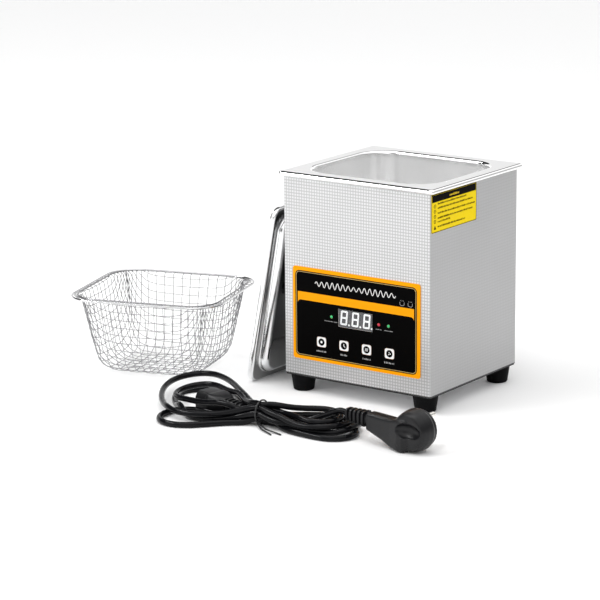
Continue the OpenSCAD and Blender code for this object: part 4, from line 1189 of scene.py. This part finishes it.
def add_connector():
    """Appliance connector: keyed front, waisted grip and stepped relief."""
    nose = [nose_section(x, inset) for x, inset in ((0, 0.5), (0.6, 0), (16, 0), (16.5, 0.6))]
    parts = [loft(nose), bar_x(CONNECTOR_GRIP), bar_x(CONNECTOR_CORE)]
    for i in range(4):
        x, size = CONNECTOR_RIBS_START + CONNECTOR_RIB_PITCH * i, 13.6 - i
        parts.append(rib(x, CONNECTOR_RIB_L, size, size, 1, 4))
    piece = add_moulding("connector_moulding", parts, from_connector)
    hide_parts("cord_connector")
    keep_corners(piece)
    slots = [bar_x([(-0.06, 2.2, 4.6, 0.2, y, z), (0.02, 2.2, 4.6, 0.2, y, z)], 2)
             for y, z in CONNECTOR_SLOTS]
    add_moulding("connector_slots", slots, from_connector, "ink_black", smooth=False)


add_plug_moulding()
add_plug_relief()
add_connector()


# ---------- floor and light ----------

FLOOR_HALF_W = 30
# Each light's place and aim, its width and height, and its power in W
LIGHTS = {
    "top_softbox": ((-0.3, -0.3, 2.2), (-0.1, -0.1, 0), 0.7, 1.3, 6),
    "strip_light": ((-1.1, -0.7, 1.5), (-0.1, -0.15, 0), 1.7, 0.1, 14),
    "front_softbox": ((-1.4, -2.2, 1.0), (-0.05, 0, 0.1), 1.6, 1.6, 8),
}


def add_floor():
    mesh = bpy.data.meshes.new("floor")
    corners = [(x * FLOOR_HALF_W, y * FLOOR_HALF_W, 0) for x, y in ((-1, -1), (1, -1), (1, 1), (-1, 1))]
    mesh.from_pydata(corners, [], [(0, 1, 2, 3)])
    floor = placed("floor", mesh)
    m = Paint("floor_paper")
    tone = m.mix(m.noise(2.0), (0.945, 0.945, 0.945, 1), (0.955, 0.955, 0.955, 1))
    mesh.materials.append(m.set(color=tone, roughness=0.6, specular=0.2))


def add_lights():
    for name, (place, target, width, height, power) in LIGHTS.items():
        data = bpy.data.lights.new(name, "AREA")
        data.shape = "RECTANGLE"
        data.size, data.size_y = width, height
        data.energy = power
        lamp = placed(name, data)
        lamp.location = place
        aim = Vector(target) - Vector(place)
        lamp.rotation_euler = aim.to_track_quat("-Z", "Y").to_euler()


# Parts of the studio for the steel to mirror: direction over the ground, dot products where
# each begins and is full, heights (sines) that it lies between, their softness, brightness
STUDIO_PANELS = [
    ((0.97, 0.24), 0.10, 0.75, (-1.0, 0.60), 0.25, 0.42),
    ((-0.95, 0.31), 0.42, 0.52, (0.33, 0.86), 0.05, 0.04),
    ((-0.60, -0.80), 0.55, 0.75, (0.06, 0.42), 0.04, 0.10),
    ((-0.58, 0.81), 0.80, 0.97, (0.12, 0.30), 0.05, 0.86),
]
STUDIO_BRIGHT = 1.24
STUDIO_ZENITH = 1.5
# Where it brightens to its zenith
ZENITH_HEIGHTS = (0.55, 0.95)


def add_world():
    """A white studio, brighter overhead, with a few grey panels round it."""
    world = bpy.data.worlds.new("studio")
    world.use_nodes = True
    n = Nodes(world.node_tree)
    ray = n.add("ShaderNodeTexCoord").outputs["Generated"]
    height = n.parts(ray)[2]

    def reach(value, begins, full):
        return n.ramp(value, begins, full, interpolation_type="SMOOTHSTEP")

    level = n.blend(reach(height, *ZENITH_HEIGHTS), STUDIO_BRIGHT, STUDIO_ZENITH)
    for direction, begins, full, (low, high), soft, brightness in STUDIO_PANELS:
        above = reach(height, low - soft, low + soft)
        below = reach(height, high + soft, high - soft)
        ahead = reach(n.dot(ray, (*direction, 0.0)), begins, full)
        inside = n.math("MULTIPLY", ahead, n.math("MULTIPLY", above, below))
        level = n.blend(inside, level, brightness)
    sky = world.node_tree.nodes["Background"]
    n.feed(sky.inputs["Strength"], level)
    n.feed(sky.inputs["Color"], (1, 1, 1, 1))
    scene.world = world


add_floor()
add_world()
add_lights()
